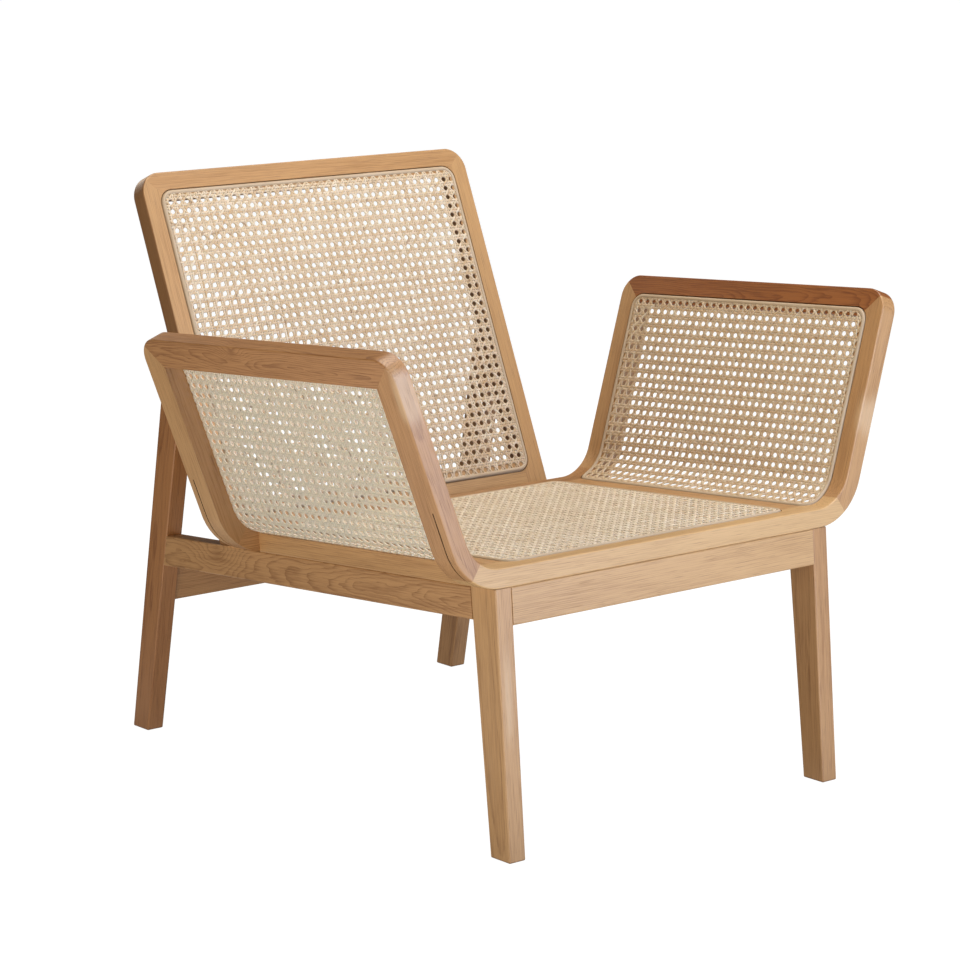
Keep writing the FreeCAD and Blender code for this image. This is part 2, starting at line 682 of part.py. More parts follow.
# Tools that cut the members
side_bores = sockets("side_rail_dowels", dowel, dowel_bore, side_spots)
apron_bores = sockets("apron_dowels", dowel, dowel_bore, apron_spots)
shell_bores = sockets("shell_screws", screw, screw_bore, screw_spots)
seat_bores = sockets("seat_rail_dowels", dowel, dowel_bore, seat_spots)
arm_slots = sockets("arm_corner_tenons", tenon, tenon_slot, arm_tenon_spots)
key_slots = sockets("hoop_corner_keys", key, key_slot, key_spots)
back_slots = sockets("back_corner_tenons", tenon, tenon_slot, back_tenon_spots)
back_bores = sockets("back_rail_dowels", dowel, dowel_bore, back_dowel_spots)
back_screw_bores = sockets("back_screws", screw, screw_bore, back_screw_spots)
base_tools = bundle_of("base_tools", [side_bores, apron_bores, shell_bores, back_screw_bores])
hoop_tools = bundle_of("hoop_tools", [seat_bores, arm_slots, key_slots, shell_bores, seat_groove,
                                      *arm_grooves.values()])
back_tools = bundle_of("back_tools", [back_slots, back_bores, back_screw_bores, shell_bores, back_groove])

# Base
ARRIS = size("arris")
FRONT_LEG = [("-" + HALF_BOX, "0"), ("Sizes.front_foot - " + HALF_BOX, "0"),
             ("%s + Sizes.front_leg_top * %s" % (HOOP_Y, COS_TILT),
              "Sizes.seat_front - Sizes.front_leg_top * %s" % SIN_TILT),
             (HOOP_Y, size("seat_front"))]
REAR_LEG = [(rear_front_y("0"), "0"), (rear_front_y("0") + " + Sizes.rear_foot", "0"),
            ("%s + Sizes.rear_foot - %s * tan(Sizes.rear_back_rake)" % (rear_front_y("0"), WEDGE_TIP),
             WEDGE_TIP),
            (rear_front_y(WEDGE_LOW), WEDGE_LOW)]
RAIL_H = size("side_rail_height")
SIDE_RAIL = [(front_joint(RAIL_H), "-" + RAIL_H), (rear_joint(RAIL_H), "-" + RAIL_H), (rear_joint("0"), "0"),
             (front_joint("0"), "0")]
APRON_H = size("front_apron_height")
FRONT_APRON = [(front_face(APRON_H), "-" + APRON_H), ("%s + %s" % (front_face(APRON_H), T), "-" + APRON_H),
               (T, "0"), ("0", "0")]
APRON_LOW = size("rear_apron_floor")
APRON_HIGH = "(Sizes.rear_apron_floor + Sizes.rear_apron_height)"
REAR_APRON = [("%s + Sizes.rear_apron_inset + %s" % (rear_front_y(level), deep), level)
              for level, deep in ((APRON_LOW, "0"), (APRON_LOW, T), (APRON_HIGH, T), (APRON_HIGH, "0"))]
UP = (0, 0, 1)
DOWN = (0, 0, -1)
LEFT = (-1, 0, 0)
RIGHT = (1, 0, 0)
FORWARD = (0, -1, 0)
BACKWARD = (0, 1, 0)

for side, start, rail_start in (("left", "-" + LEG_OUT, "-" + LEG_OUT), ("right", LEG_IN, RAIL_IN)):
    for end, corners in (("front", FRONT_LEG), ("rear", REAR_LEG)):
        label = "%s_leg_%s" % (end, side)
        leg = slab(label, "YZ_Plane", corners, start, size("leg_thick"))
        soften(leg, [UP], ARRIS)
        fitted(label, leg, base_tools)
    label = "side_rail_%s" % side
    rail = slab(label, "YZ_Plane", SIDE_RAIL, rail_start, T, SHELL)
    soften(rail, [FORWARD, BACKWARD], ARRIS)
    fitted(label, rail, base_tools)
for label, corners, frame in (("front_apron", FRONT_APRON, SHELL), ("rear_apron", REAR_APRON, "")):
    apron = slab(label, "YZ_Plane", corners, "-" + LEG_IN, "2 * " + LEG_IN, frame)
    soften(apron, [LEFT, RIGHT], ARRIS)
    fitted(label, apron, base_tools)

# Shell: hoops, arm rails and seat side rails
HALF_TURN_SIN = "sin(%s / 2)" % TURN
HALF_TURN_COS = "cos(%s / 2)" % TURN


def on_bend(radius, sign):
    """Point of the mid-bend mitre at a radius, on the right (1) or left (-1)."""
    across = "%s * (%s + %s * %s)" % (sign, BEND_X, radius, HALF_TURN_SIN)
    return across, "%s - %s * %s" % (BEND, radius, HALF_TURN_COS)


SEAT_RAIL = [("-" + BEND_X, "0"), (BEND_X, "0", BEND, 1), on_bend(BEND, "1"),
             on_bend(BEND_IN, "1") + (BEND_IN, -1), (BEND_X, T), ("-" + BEND_X, T, BEND_IN, -1),
             on_bend(BEND_IN, "-1"), on_bend(BEND, "-1") + (BEND, 1)]
FAR = "(%s - %s)" % (DEPTH, W)
for label, start, mate in (("front_seat_rail", "0", BACKWARD), ("rear_seat_rail", "-" + FAR, FORWARD)):
    rail = slab(label, "XZ_Plane", SEAT_RAIL, start, W, SHELL)
    soften(rail, [mate], ARRIS)
    fitted(label, rail, hoop_tools)

ARM_STILE = [("%s * %s" % (BEND, HALF_TURN_COS), "-%s * %s" % (BEND, HALF_TURN_SIN), BEND, 1), (BEND, "0"),
             (BEND, ARM), (BEND_IN, ARM), (BEND_IN, "0", BEND_IN, -1),
             ("%s * %s" % (BEND_IN, HALF_TURN_COS), "-%s * %s" % (BEND_IN, HALF_TURN_SIN))]
RC = size("arm_corner")
CUT_HIGH = "%s + %s" % (ARM, OVERSHOOT)
OFF_CUT = [("0", "%s - %s" % (ARM, RC), RC, -1),
           ("%s * %s" % (RC, MID_ARC), "%s - %s * %s" % (ARM, RC, MID_ARC)),
           (W, "%s - %s" % (ARM, W)), ("%s + %s" % (W, OVERSHOOT), "%s - %s" % (ARM, W)),
           ("%s + %s" % (W, OVERSHOOT), CUT_HIGH), ("-%s" % OVERSHOOT, CUT_HIGH),
           ("-%s" % OVERSHOOT, "%s - %s" % (ARM, RC))]


def mirrored(corners, length):
    """Outline turned end for end along a length, in the same sense of travel."""
    flipped = []
    count = len(corners)
    for index in range(count):
        here = corners[(count - index) % count]
        before = corners[(count - index - 1) % count]
        flipped.append(("%s - (%s)" % (length, here[0]), here[1]) + tuple(before[2:]))
    return flipped


ARM_TOP = [(W, "%s - %s" % (ARM, W)), ("%s - %s" % (DEPTH, W), "%s - %s" % (ARM, W)),
           ("%s - %s * %s" % (DEPTH, RC, MID_ARC), "%s - %s * %s" % (ARM, RC, MID_ARC), RC, 1),
           ("%s - %s" % (DEPTH, RC), ARM), (RC, ARM, RC, 1),
           ("%s * %s" % (RC, MID_ARC), "%s - %s * %s" % (ARM, RC, MID_ARC))]
NEAR_END = {"right": "front", "left": "rear"}
FAR_END = {"right": "rear", "left": "front"}
for side, frame in ARMS.items():
    for end, start, cut, mate in ((NEAR_END[side], "0", OFF_CUT, BACKWARD),
                                  (FAR_END[side], "-" + FAR, mirrored(OFF_CUT, DEPTH), FORWARD)):
        label = "%s_arm_stile_%s" % (end, side)
        stile = slab(label, "XZ_Plane", ARM_STILE, start, W, frame)
        pocket(stile, outline(stile, label + "_mitre", "YZ_Plane", cut, "%s + %s" % (BEND, OVERSHOOT)),
               "%s + 2 * %s" % (T, OVERSHOOT))
        soften(stile, [mate], ARRIS)
        fitted(label, stile, hoop_tools)
    label = "arm_top_rail_%s" % side
    rail = slab(label, "YZ_Plane", ARM_TOP, BEND_IN, T, frame)
    soften(rail, [DOWN], ARRIS)
    fitted(label, rail, hoop_tools)
    label = "seat_side_rail_%s" % side
    left, right = (SEAT_IN, SEAT_OUT) if side == "right" else ("-" + SEAT_OUT, "-" + SEAT_IN)
    corners = rectangle(left, right, "0", T)
    rail = slab(label, "XZ_Plane", corners, "-" + W, "%s - 2 * %s" % (DEPTH, W), SHELL)
    soften(rail, [FORWARD, BACKWARD, UP, LEFT if side == "right" else RIGHT], ARRIS)
    fitted(label, rail, hoop_tools)

# Back frame
BM = size("back_member")
FOOT_CUT = [("-%s" % OVERSHOOT, "-%s - %s * %s" % (BACK_DROP, OVERSHOOT, BACK_SLOPE)),
            ("-%s" % OVERSHOOT, "-%s - %s" % (BACK_DROP, CLEAR)),
            ("%s + %s" % (T, OVERSHOOT), "-%s - %s" % (BACK_DROP, CLEAR)),
            ("%s + %s" % (T, OVERSHOOT), "-%s + (%s + %s) * %s" % (BACK_DROP, T, OVERSHOOT, BACK_SLOPE))]
BACK_STILE = [("%s - %s" % (BACK_HALF, BM), "-" + BACK_DROP), (BACK_HALF, "-" + BACK_DROP),
              (BACK_HALF, "-" + RC, RC, 1),
              ("%s - %s * %s" % (BACK_HALF, RC, MID_ARC), "-%s * %s" % (RC, MID_ARC)),
              ("%s - %s" % (BACK_HALF, BM), "-" + BM)]
BACK_TOP_RAIL = [("%s - %s" % (BM, BACK_HALF), "-" + BM), ("%s - %s" % (BACK_HALF, BM), "-" + BM),
                 ("%s - %s * %s" % (BACK_HALF, RC, MID_ARC), "-%s * %s" % (RC, MID_ARC), RC, 1),
                 ("%s - %s" % (BACK_HALF, RC), "0"), ("%s - %s" % (RC, BACK_HALF), "0", RC, 1),
                 ("%s * %s - %s" % (RC, MID_ARC, BACK_HALF), "-%s * %s" % (RC, MID_ARC))]
BACK_FOOT_RAIL = rectangle("-" + BACK_INNER, BACK_INNER, "-" + BACK_DROP,
                           "-%s + Sizes.back_foot_rail" % BACK_DROP)
for label, corners, mates in (("back_stile_left", mirrored(BACK_STILE, "0"), [RIGHT, DOWN]),
                              ("back_stile_right", BACK_STILE, [LEFT, DOWN]),
                              ("back_top_rail", BACK_TOP_RAIL, [DOWN]),
                              ("back_bottom_rail", BACK_FOOT_RAIL, [LEFT, RIGHT, UP, DOWN])):
    member = slab(label, "XZ_Plane", corners, "0", T, BACK)
    if label != "back_top_rail":
        past = "(%s + %s)" % (BACK_HALF, OVERSHOOT)
        pocket(member, outline(member, label + "_foot", "YZ_Plane", FOOT_CUT, past), "2 * " + past)
    if label != "back_bottom_rail":
        soften(member, mates, ARRIS)
    fitted(label, member, back_tools)

doc.recompute()

# Nothing is written unless every object is sound
for item in doc.Objects:
    if "Invalid" in item.State or "Error" in item.State:
        raise RuntimeError("%s: %s" % (item.Label, ", ".join(item.State)))
os.makedirs("parts", exist_ok=True)
for label, item in NODES.items():
    shape = item.Shape
    if shape.isNull() or not shape.isValid() or not shape.Solids:
        raise RuntimeError(label + ": no sound solid")
    shape.exportStep("parts/%s.step" % label)
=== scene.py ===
"""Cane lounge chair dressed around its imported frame: woven cane, reed splines, oiled oak and a stage."""
import math

import bpy
import numpy as np
from mathutils import Matrix, Vector


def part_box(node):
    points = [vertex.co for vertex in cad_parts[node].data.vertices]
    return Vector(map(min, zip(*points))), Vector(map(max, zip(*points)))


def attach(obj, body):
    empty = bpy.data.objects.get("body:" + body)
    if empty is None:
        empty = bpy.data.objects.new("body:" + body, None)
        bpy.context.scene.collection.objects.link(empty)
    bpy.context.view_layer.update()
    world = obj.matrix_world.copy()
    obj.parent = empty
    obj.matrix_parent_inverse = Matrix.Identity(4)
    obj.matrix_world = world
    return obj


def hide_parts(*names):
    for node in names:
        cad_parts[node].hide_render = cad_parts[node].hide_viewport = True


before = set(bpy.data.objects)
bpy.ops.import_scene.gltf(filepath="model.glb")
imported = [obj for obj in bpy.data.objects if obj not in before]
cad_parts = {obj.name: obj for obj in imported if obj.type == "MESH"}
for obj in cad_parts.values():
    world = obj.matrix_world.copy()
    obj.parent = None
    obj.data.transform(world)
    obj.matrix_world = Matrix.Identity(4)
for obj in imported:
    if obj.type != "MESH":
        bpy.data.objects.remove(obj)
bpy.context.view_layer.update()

bl_info = {
    "name": "Cane Lounge Chair",
    "version": (1, 0, 0),
    "blender": (4, 5, 0),
    "location": "3D View > Sidebar > Chair",
    "description": "Weaves the cane, lays the reed splines and finishes the oak of a lounge chair",
    "category": "Object",
}

MM_PER_METRE = 1000.0
WHITE = (1.0, 1.0, 1.0, 1.0)


def length(name, description, default):
    """Property for a size in metres."""
    return bpy.props.FloatProperty(name=name, description=description, default=default, unit="LENGTH",
                                   precision=5)


def spot(name, description, default):
    """Property for a point in metres."""
    return bpy.props.FloatVectorProperty(name=name, description=description, default=default, size=3,
                                         subtype="XYZ", unit="LENGTH")


def turn(name, description, degrees):
    """Property for an angle, given in degrees and kept in radians."""
    return bpy.props.FloatProperty(name=name, description=description, default=math.radians(degrees),
                                   subtype="ANGLE")


def tone(name, description, default):
    """Property for a colour, in linear values."""
    return bpy.props.FloatVectorProperty(name=name, description=description, default=default, size=3,
                                         subtype="COLOR", min=0.0, soft_max=1.0)


def share(name, description, default):
    """Property for a plain number."""
    return bpy.props.FloatProperty(name=name, description=description, default=default)


class ChairShape(bpy.types.PropertyGroup):
    """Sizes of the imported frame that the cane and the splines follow."""

    hoop_front: length("Hoop front", "Front-bottom edge of the front hoop along Y", -0.34981)
    seat_front: length("Seat front", "Height of that edge above the floor", 0.322)
    tilt: turn("Tilt", "Backward tilt of seat and arms", 4.5)
    depth: length("Shell depth", "Front of the front hoop to the rear of the rear hoop", 0.484)
    stock: length("Stock", "Thickness of the frame members", 0.024)
    bend: length("Bend", "Outer radius of the hoops' bends", 0.078)
    bend_x: length("Bend centre", "Distance of the bends' centres from the middle", 0.26367)
    lean: turn("Lean", "Outward lean of the arms", 19.55)
    arm: length("Arm", "Straight height of the arms above the bend", 0.242)
    margin: length("Margin", "Wood outside the splines of seat and arms", 0.0245)
    seat_half: length("Seat half", "Middle of the seat to its spline's outer edge", 0.23267)
    arm_foot: length("Arm foot", "Bend's start to the arm spline's lower edge", 0.002)
    spline: length("Spline", "Width of the reed spline", 0.006)
    corner: length("Corner", "Outer corner radius of the splines", 0.020)
    groove: length("Groove", "Depth of the spline's groove", 0.004)
    recline: turn("Recline", "Backward lean of the back", 23.35)
    back_top: spot("Back top", "Middle of the back's top front edge", (0.0, 0.35910, 0.73488))
    back_length: length("Back length", "Front face of the back from foot to top", 0.4937)
    back_half: length("Back half", "Half the width of the back", 0.27057)
    back_margin: length("Back margin", "Wood outside the back's spline", 0.0236)
    back_foot_margin: length("Back foot margin", "Wood below the back's spline", 0.0339)


class CaneFinish(bpy.types.PropertyGroup):
    """Sizes and colours of the woven cane."""

    pitch: length("Pitch", "Distance between hole centres", 0.0127)
    strand: length("Strand", "Width of a strand of the pairs", 0.0031)
    diagonal: length("Diagonal", "Width of a diagonal strand", 0.0031)
    thick: length("Thickness", "Thickness of a strand", 0.0007)
    pair: length("Pair", "Middle of a pair to the middle of each of its strands", 0.00177)
    wave: length("Wave", "Rise and fall of a strand about the panel's middle", 0.0005)
    level: length("Level", "Height of the panel's middle above the wood", 0.0008)
    lift: length("Lift", "How far the diagonals lie above that and the pairs below it", 0.00005)
    light: tone("Light strand", "Colour of the palest strands", (0.88, 0.75, 0.58))
    dark: tone("Dark strand", "Colour of the brownest strands", (0.58, 0.41, 0.24))
    mark: tone("Node mark", "Colour of the leaf scars along a strand", (0.22, 0.12, 0.05))
    roughness: share("Roughness", "Roughness of the strands' skin", 0.45)
    glow: share("Glow", "Share of the light that passes into a strand and out again", 0.5)
    depth: length("Depth", "How far light travels in a strand", 0.0015)
    seed: bpy.props.IntProperty(name="Seed", description="Start of the random draws", default=11)


class ReedFinish(bpy.types.PropertyGroup):
    """Sizes and colours of the reed splines."""

    crown: length("Crown", "Height of the spline's crown above the wood", 0.0020)
    clearance: length("Clearance", "Gap between the spline and its groove's outer wall and floor", 0.0014)
    lap: length("Lap", "How far the spline's crown reaches over the cane", 0.0010)
    light: tone("Light reed", "Main colour of the reed", (0.55, 0.43, 0.29))
    dark: tone("Dark reed", "Colour of its fibres", (0.42, 0.29, 0.16))
    roughness: share("Roughness", "Roughness of the reed", 0.6)


class OakFinish(bpy.types.PropertyGroup):
    """Colours and grain of the oiled oak."""

    light: tone("Light oak", "Colour between the growth rings", (0.50, 0.275, 0.110))
    dark: tone("Dark oak", "Colour of the growth rings", (0.30, 0.142, 0.046))
    pore: tone("Pores", "Colour of the open pores", (0.12, 0.055, 0.02))
    # Colour of painted shade, laid on edges of the back's and the arms' stiles and on the legs' feet
    painted_shade: tone("Painted shade", "Colour of painted shade at edges and feet", (0.17, 0.06, 0.012))
    sap: tone("Sapwood", "Colour of pale sapwood", (0.68, 0.48, 0.28))
    # A board's darkness, partly its own tone and partly painted light and shade, moves its colour towards
    # this dark tint
    dark_tint: tone("Dark tint", "What a dark board's colour is multiplied by", (0.65, 0.405, 0.23))
    ring_plain: length("Plain ring", "Distance between growth rings of a plain-sawn board", 0.0026)
    ring_quarter: length("Quarter ring", "Distance between growth rings of a quarter-sawn board", 0.0022)
    roughness: share("Roughness", "Roughness of the oiled surface", 0.42)
    gloss: share("Gloss", "Strength of the oil's reflection", 0.65)


class StageSetup(bpy.types.PropertyGroup):
    """Camera, floor and light of the picture."""

    azimuth: turn("Azimuth", "Camera's heading, from the front towards the chair's left", 40.7906)
    elevation: turn("Elevation", "Camera's dip below the horizon", 11.7358)
    roll: turn("Roll", "Camera's turn about its own axis", 0.5997)
    distance: length("Distance", "Camera to the point it looks at", 4.38466)
    across: length("Across", "Shift of that point to the camera's right", 0.00057)
    target: spot("Target", "Point the camera looks at", (0.0, -0.00176, 0.35954))
    lens: share("Lens", "Focal length in millimetres on a 36 mm sensor", 129.048)
    sky: share("Sky", "Strength of the even light from all round", 0.09)
    key: share("Key", "Power of the tall light before the chair, in watts", 22.0)
    daylight: tone("Daylight", "Colour of the tall light", (0.86, 1.00, 1.38))
    lamplight: tone("Lamplight", "Colour of the other lights", (1.07, 1.00, 0.90))
    fill: share("Fill", "Power of the card at the left, in watts", 21.0)
    top: share("Top", "Power of the light overhead, in watts", 46.0)
    rear: share("Rear", "Power of the weak light behind the chair, in watts", 8.0)
    glow: share("Glow", "Brightness of the lit floor before the chair", 0.8)
    dusk: share("Dusk", "Brightness of the floor under and behind the chair", 0.10)


# Sockets of a Mix node that blends colours
MIX_SHARE = 0
MIX_FIRST = 6
MIX_SECOND = 7
MIX_COLOUR = 2
# Value that a noise swings about
NOISE_MIDDLE = 0.5


def both_ways(operation):
    """Operator that adds a Math node, and its reflected form."""
    def plain(wire, other):
        return wire.maths(operation, wire, other)

    def reflected(wire, other):
        return wire.maths(operation, other, wire)

    return plain, reflected


class Wire:
    """A node's output that takes part in sums: an operator on it adds a Math node."""

    def __init__(self, tree, socket):
        self.tree = tree
        self.socket = socket

    @classmethod
    def node(cls, tree, kind, settings=None, sockets=None, pick=0):
        """Any node: its settings first, then the values or links of its sockets. pick names the output that
        is wanted, or several of them."""
        made = tree.nodes.new(kind)
        for key, setting in (settings or {}).items():
            setattr(made, key, setting)
        for key, given in (sockets or {}).items():
            if isinstance(given, Wire):
                tree.links.new(given.socket, made.inputs[key])
            else:
                made.inputs[key].default_value = given
        if isinstance(pick, tuple):
            return [cls(tree, made.outputs[name]) for name in pick]
        return cls(tree, made.outputs[pick])

    def maths(self, operation, first, second=0.0):
        """Math node on two values."""
        return Wire.node(self.tree, "ShaderNodeMath", {"operation": operation}, {0: first, 1: second})

    __add__, __radd__ = both_ways("ADD")
    __sub__, __rsub__ = both_ways("SUBTRACT")
    __mul__, __rmul__ = both_ways("MULTIPLY")
    __truediv__, __rtruediv__ = both_ways("DIVIDE")
    __pow__, __rpow__ = both_ways("POWER")

    def fraction(self):
        """What is left after the whole number."""
        return self.maths("FRACT", self)

    def centred(self, weight):
        """Noise that swings about zero, times a weight."""
        return (self - NOISE_MIDDLE) * weight

    def between(self, low, high):
        """Smooth step from 0 at low to 1 at high."""
        return Wire.node(self.tree, "ShaderNodeMapRange", {"interpolation_type": "SMOOTHSTEP"},
                         {"Value": self, "From Min": low, "From Max": high})

    def blend(self, first, second):
        """Colour that goes from the first to the second as this value goes from 0 to 1."""
        return Wire.node(self.tree, "ShaderNodeMix", {"data_type": "RGBA"},
                         {MIX_SHARE: self, MIX_FIRST: first, MIX_SECOND: second}, MIX_COLOUR)

    def bell(self, other, centre, reach):
        """Bell over this value and another: 1 at a centre, falling off over a reach each way."""
        ahead = (self - centre[0]) / reach[0]
        aside = (other - centre[1]) / reach[1]
        return self.maths("EXPONENT", (ahead * ahead + aside * aside) * -1.0)

    def vector(self, operation, other, pick="Vector"):
        """Vector Math node on this vector and another."""
        return Wire.node(self.tree, "ShaderNodeVectorMath", {"operation": operation},
                         {0: self, 1: other}, pick)

    def parts(self):
        """The three values of this vector."""
        return Wire.node(self.tree, "ShaderNodeSeparateXYZ", {}, {0: self}, ("X", "Y", "Z"))

    def distance(self, origin, direction):
        """How far this point lies from an origin along a direction."""
        return self.vector("SUBTRACT", origin).vector("DOT_PRODUCT", direction, "Value")

    def noise(self, stretch, cycles, detail, roughness):
        """Noise at this point, stretched axis by axis, with a number of cycles for each unit."""
        return Wire.node(self.tree, "ShaderNodeTexNoise", {}, {
            "Vector": self.vector("MULTIPLY", stretch), "Scale": cycles, "Detail": detail,
            "Roughness": roughness})


def full(colour):
    """Colour with its fourth value."""
    return (*colour, 1.0)


def start_material(name):
    """Empty material, its tree and its shader."""
    material = bpy.data.materials.new(name)
    material.use_nodes = True
    tree = material.node_tree
    return material, tree, tree.nodes["Principled BSDF"]


def plug(tree, shader, **links):
    """Join wires to the shader's sockets, named with _ for a space."""
    for key, wire in links.items():
        tree.links.new(wire.socket, shader.inputs[key.replace("_", " ")])


def bumped(height, distance, strength):
    """Normal that stands up by a height."""
    return Wire.node(height.tree, "ShaderNodeBump", {},
                     {"Height": height, "Distance": distance, "Strength": strength}, "Normal")


def give(piece, material):
    """Let a piece have one material and no other."""
    piece.data.materials.clear()
    piece.data.materials.append(material)


def placed(shift, axis, angle):
    """Frame moved by a shift and turned about an axis."""
    return Matrix.Translation(Vector(shift)) @ Matrix.Rotation(angle, 4, axis)


def shell_frame(shape):
    """Frame of seat and arms: X across, Y to the rear along the side rails, Z up from them."""
    return placed((0.0, shape.hoop_front, shape.seat_front), "X", -shape.tilt)


# Corners of a field in the order in which its outline runs, as signs across and along
CORNERS = ((1, -1), (1, 1), (-1, 1), (-1, -1))
# Step that tells which way a field's directions turn, in metres
PROBE = 1e-4


class Panel:
    """One caned field: a rounded rectangle at the spline's outer edge, and the surface it lies on. A point
    has a place across (a), a place along (b) and a height off the wood (h)."""

    def __init__(self, name, low, high, corner, matrix, holes, steps):
        self.name = name
        self.middle = (np.array(low) + np.array(high)) / 2
        self.half = (np.array(high) - np.array(low)) / 2
        self.corner = corner
        self.matrix = np.array(matrix)
        self.holes = np.array(holes)
        self.steps = np.array(steps)

    def inset(self, flat):
        """Distance inside the outer edge: to the nearest side, or to a corner's arc."""
        past = np.abs(flat - self.middle) - (self.half - self.corner)
        outside = np.linalg.norm(np.maximum(past, 0.0), axis=-1)
        return self.corner - outside - np.minimum(past.max(axis=-1), 0.0)

    def local(self, a, b, h):
        """Points in the panel's own frame: a flat field with its height along Z."""
        return np.stack((a, b, h), axis=-1)

    def points(self, flat, h):
        """Points in the chair's frame."""
        near = self.local(flat[..., 0], flat[..., 1], h)
        return near @ self.matrix[:3, :3].T + self.matrix[:3, 3]

    def right_handed(self):
        """Whether across, along and height turn the usual way."""
        start = self.middle
        flat = np.array((start, start + (PROBE, 0.0), start + (0.0, PROBE), start))
        at = self.points(flat, np.array((0.0, 0.0, 0.0, PROBE)))
        return np.dot(np.cross(at[1] - at[0], at[2] - at[0]), at[3] - at[0]) > 0


class UprightPanel(Panel):
    """Field on the back's front face: b runs up the face and the height stands forward."""

    def local(self, a, b, h):
        """Points in the back's frame: a along X, b along Z and the height against Y."""
        return np.stack((a, -h, b), axis=-1)


class ArmPanel(Panel):
    """Field on an arm's inner face: a runs to the rear, b runs up the face, and below zero it follows the
    bend as an arc about the bend's centre."""

    def __init__(self, radius, *given):
        self.radius = radius
        super().__init__(*given)

    def local(self, a, b, h):
        """Points about the bend's centre, at the radius less the height: below zero turned by -b over the
        radius, above it moved up by b."""
        angle = np.maximum(-b, 0.0) / self.radius
        out = self.radius - h
        return np.stack((out * np.cos(angle), a, np.maximum(b, 0.0) - out * np.sin(angle)), axis=-1)


# Lattices of the cane's holes: a hole in metres, then the step along a row and the step to the next row, in
# pitches. Those of the back and the right arm were read off the photograph
SEAT_STEPS = ((1.0, 0.0), (0.0, 1.0))
BACK_HOLE = (-0.23244, -0.04128)
BACK_STEPS = ((1.0, -0.0049), (-0.0159, -0.9988))
RIGHT_HOLE = (0.41553, 0.19290)
RIGHT_STEPS = ((-1.009, 0.0015), (-0.014, -1.0))
LEFT_HOLE = (0.41553, 0.19537)
LEFT_STEPS = ((-1.0, 0.0), (0.0, -1.0))


def panels(shape, cane):
    """The four caned fields, each with its surface and its lattice of holes."""
    seat_steps, back_steps, right_steps, left_steps = [
        np.array(steps) * cane.pitch for steps in (SEAT_STEPS, BACK_STEPS, RIGHT_STEPS, LEFT_STEPS)]
    shell = shell_frame(shape)
    seat = Panel("seat", (-shape.seat_half, shape.margin), (shape.seat_half, shape.depth - shape.margin),
                 shape.corner, shell @ Matrix.Translation((0.0, 0.0, shape.stock)),
                 (0.0, shape.depth / 2), seat_steps)
    back_side = shape.back_half - shape.back_margin
    back = UprightPanel("back", (-back_side, shape.back_foot_margin - shape.back_length),
                        (back_side, -shape.back_margin), shape.corner,
                        placed(shape.back_top, "X", -shape.recline), BACK_HOLE, back_steps)
    radius = shape.bend - shape.stock
    foot = shape.arm_foot - (math.pi / 2 - shape.lean) * radius
    step = placed((shape.bend_x, 0.0, shape.bend), "Y", shape.lean)
    half_turn = placed((0.0, shape.depth, 0.0), "Z", math.pi)
    field = ((shape.margin, foot), (shape.depth - shape.margin, shape.arm - shape.margin), shape.corner)
    right = ArmPanel(radius, "arm_right", *field, shell @ step, RIGHT_HOLE, right_steps)
    left = ArmPanel(radius, "arm_left", *field, shell @ half_turn @ step, LEFT_HOLE, left_steps)
    return [seat, back, right, left]


def quads(corners, flip):
    """Four-cornered faces as an array, turned round where the surface is left-handed."""
    faces = np.stack(corners, axis=-1).reshape(-1, 4)
    return faces[:, ::-1] if flip else faces


def put_mesh(name, points, faces, lay, tint=None):
    """Mesh from arrays of points, four-cornered faces and, for each point, its place across and along."""
    used, faces = np.unique(faces, return_inverse=True)
    faces = faces.reshape(-1, 4)
    mesh = bpy.data.meshes.new(name)
    mesh.vertices.add(len(used))
    mesh.vertices.foreach_set("co", points[used].astype(np.float32).ravel())
    mesh.loops.add(faces.size)
    mesh.loops.foreach_set("vertex_index", faces.astype(np.int32).ravel())
    mesh.polygons.add(len(faces))
    mesh.polygons.foreach_set("loop_start", np.arange(0, faces.size, 4, dtype=np.int32))
    mesh.polygons.foreach_set("use_smooth", np.ones(len(faces), dtype=bool))
    sheet = mesh.uv_layers.new(name="Strand")
    sheet.uv.foreach_set("vector", lay[used][faces.ravel()].astype(np.float32).ravel())
    if tint is not None:
        held = mesh.attributes.new("tint", "FLOAT", "POINT")
        held.data.foreach_set("value", tint[used].astype(np.float32))
    mesh.update(calc_edges=True)
    if mesh.validate():
        raise RuntimeError(name + ": the mesh has faults")
    piece = bpy.data.objects.new(name, mesh)
    bpy.context.scene.collection.objects.link(piece)
    return piece


def keep(piece, material, node):
    """Give a new piece its finish, and let it stand for its node."""
    give(piece, material)
    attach(piece, "root")
    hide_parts(node)


# Parts of a pitch that a strand is divided into, and how far it is sampled beyond the field, in pitches
PARTS = 6
BEYOND = 3
# Section of a strand: height of its flat base and of its crown, as shares of its thickness, and the
# crown's width as a share of the strand's
STRAND_BASE = -0.3
STRAND_CROWN = 0.5
CROWN_WIDTH = 0.56
# Middle and spread of a strand's tint, where more is browner, and what is added to it on each panel. The
# added values are painted light and shade: the left arm's cane is made paler and the right arm's browner
# after how light falls on them
TINT_DRAW = (0.34, 0.13)
PANEL_LIGHT_AND_SHADE = {"seat": 0.18, "back": 0.40, "arm_right": 0.50, "arm_left": -0.46}
# Range of the place along the cane at which a strand starts, in millimetres
STRAND_START = (0.0, 900.0)
# Under the spline a strand ends this far inside the spline's outer edge. It starts to dive this far
# inside, and ends this much lower
STRAND_END = 0.0020
DIVE_START = 0.0090
DIVE = 0.0022
# Place of a strand between two holes, in steps of the lattice
HALF_WAY = 0.5


def lattice_reach(panel):
    """Lowest and highest lattice place that any corner of the field has."""
    ends = panel.middle + panel.half * np.array(CORNERS)
    spots = (ends - panel.holes) @ np.linalg.inv(panel.steps)
    return int(np.floor(spots.min())), int(np.ceil(spots.max()))


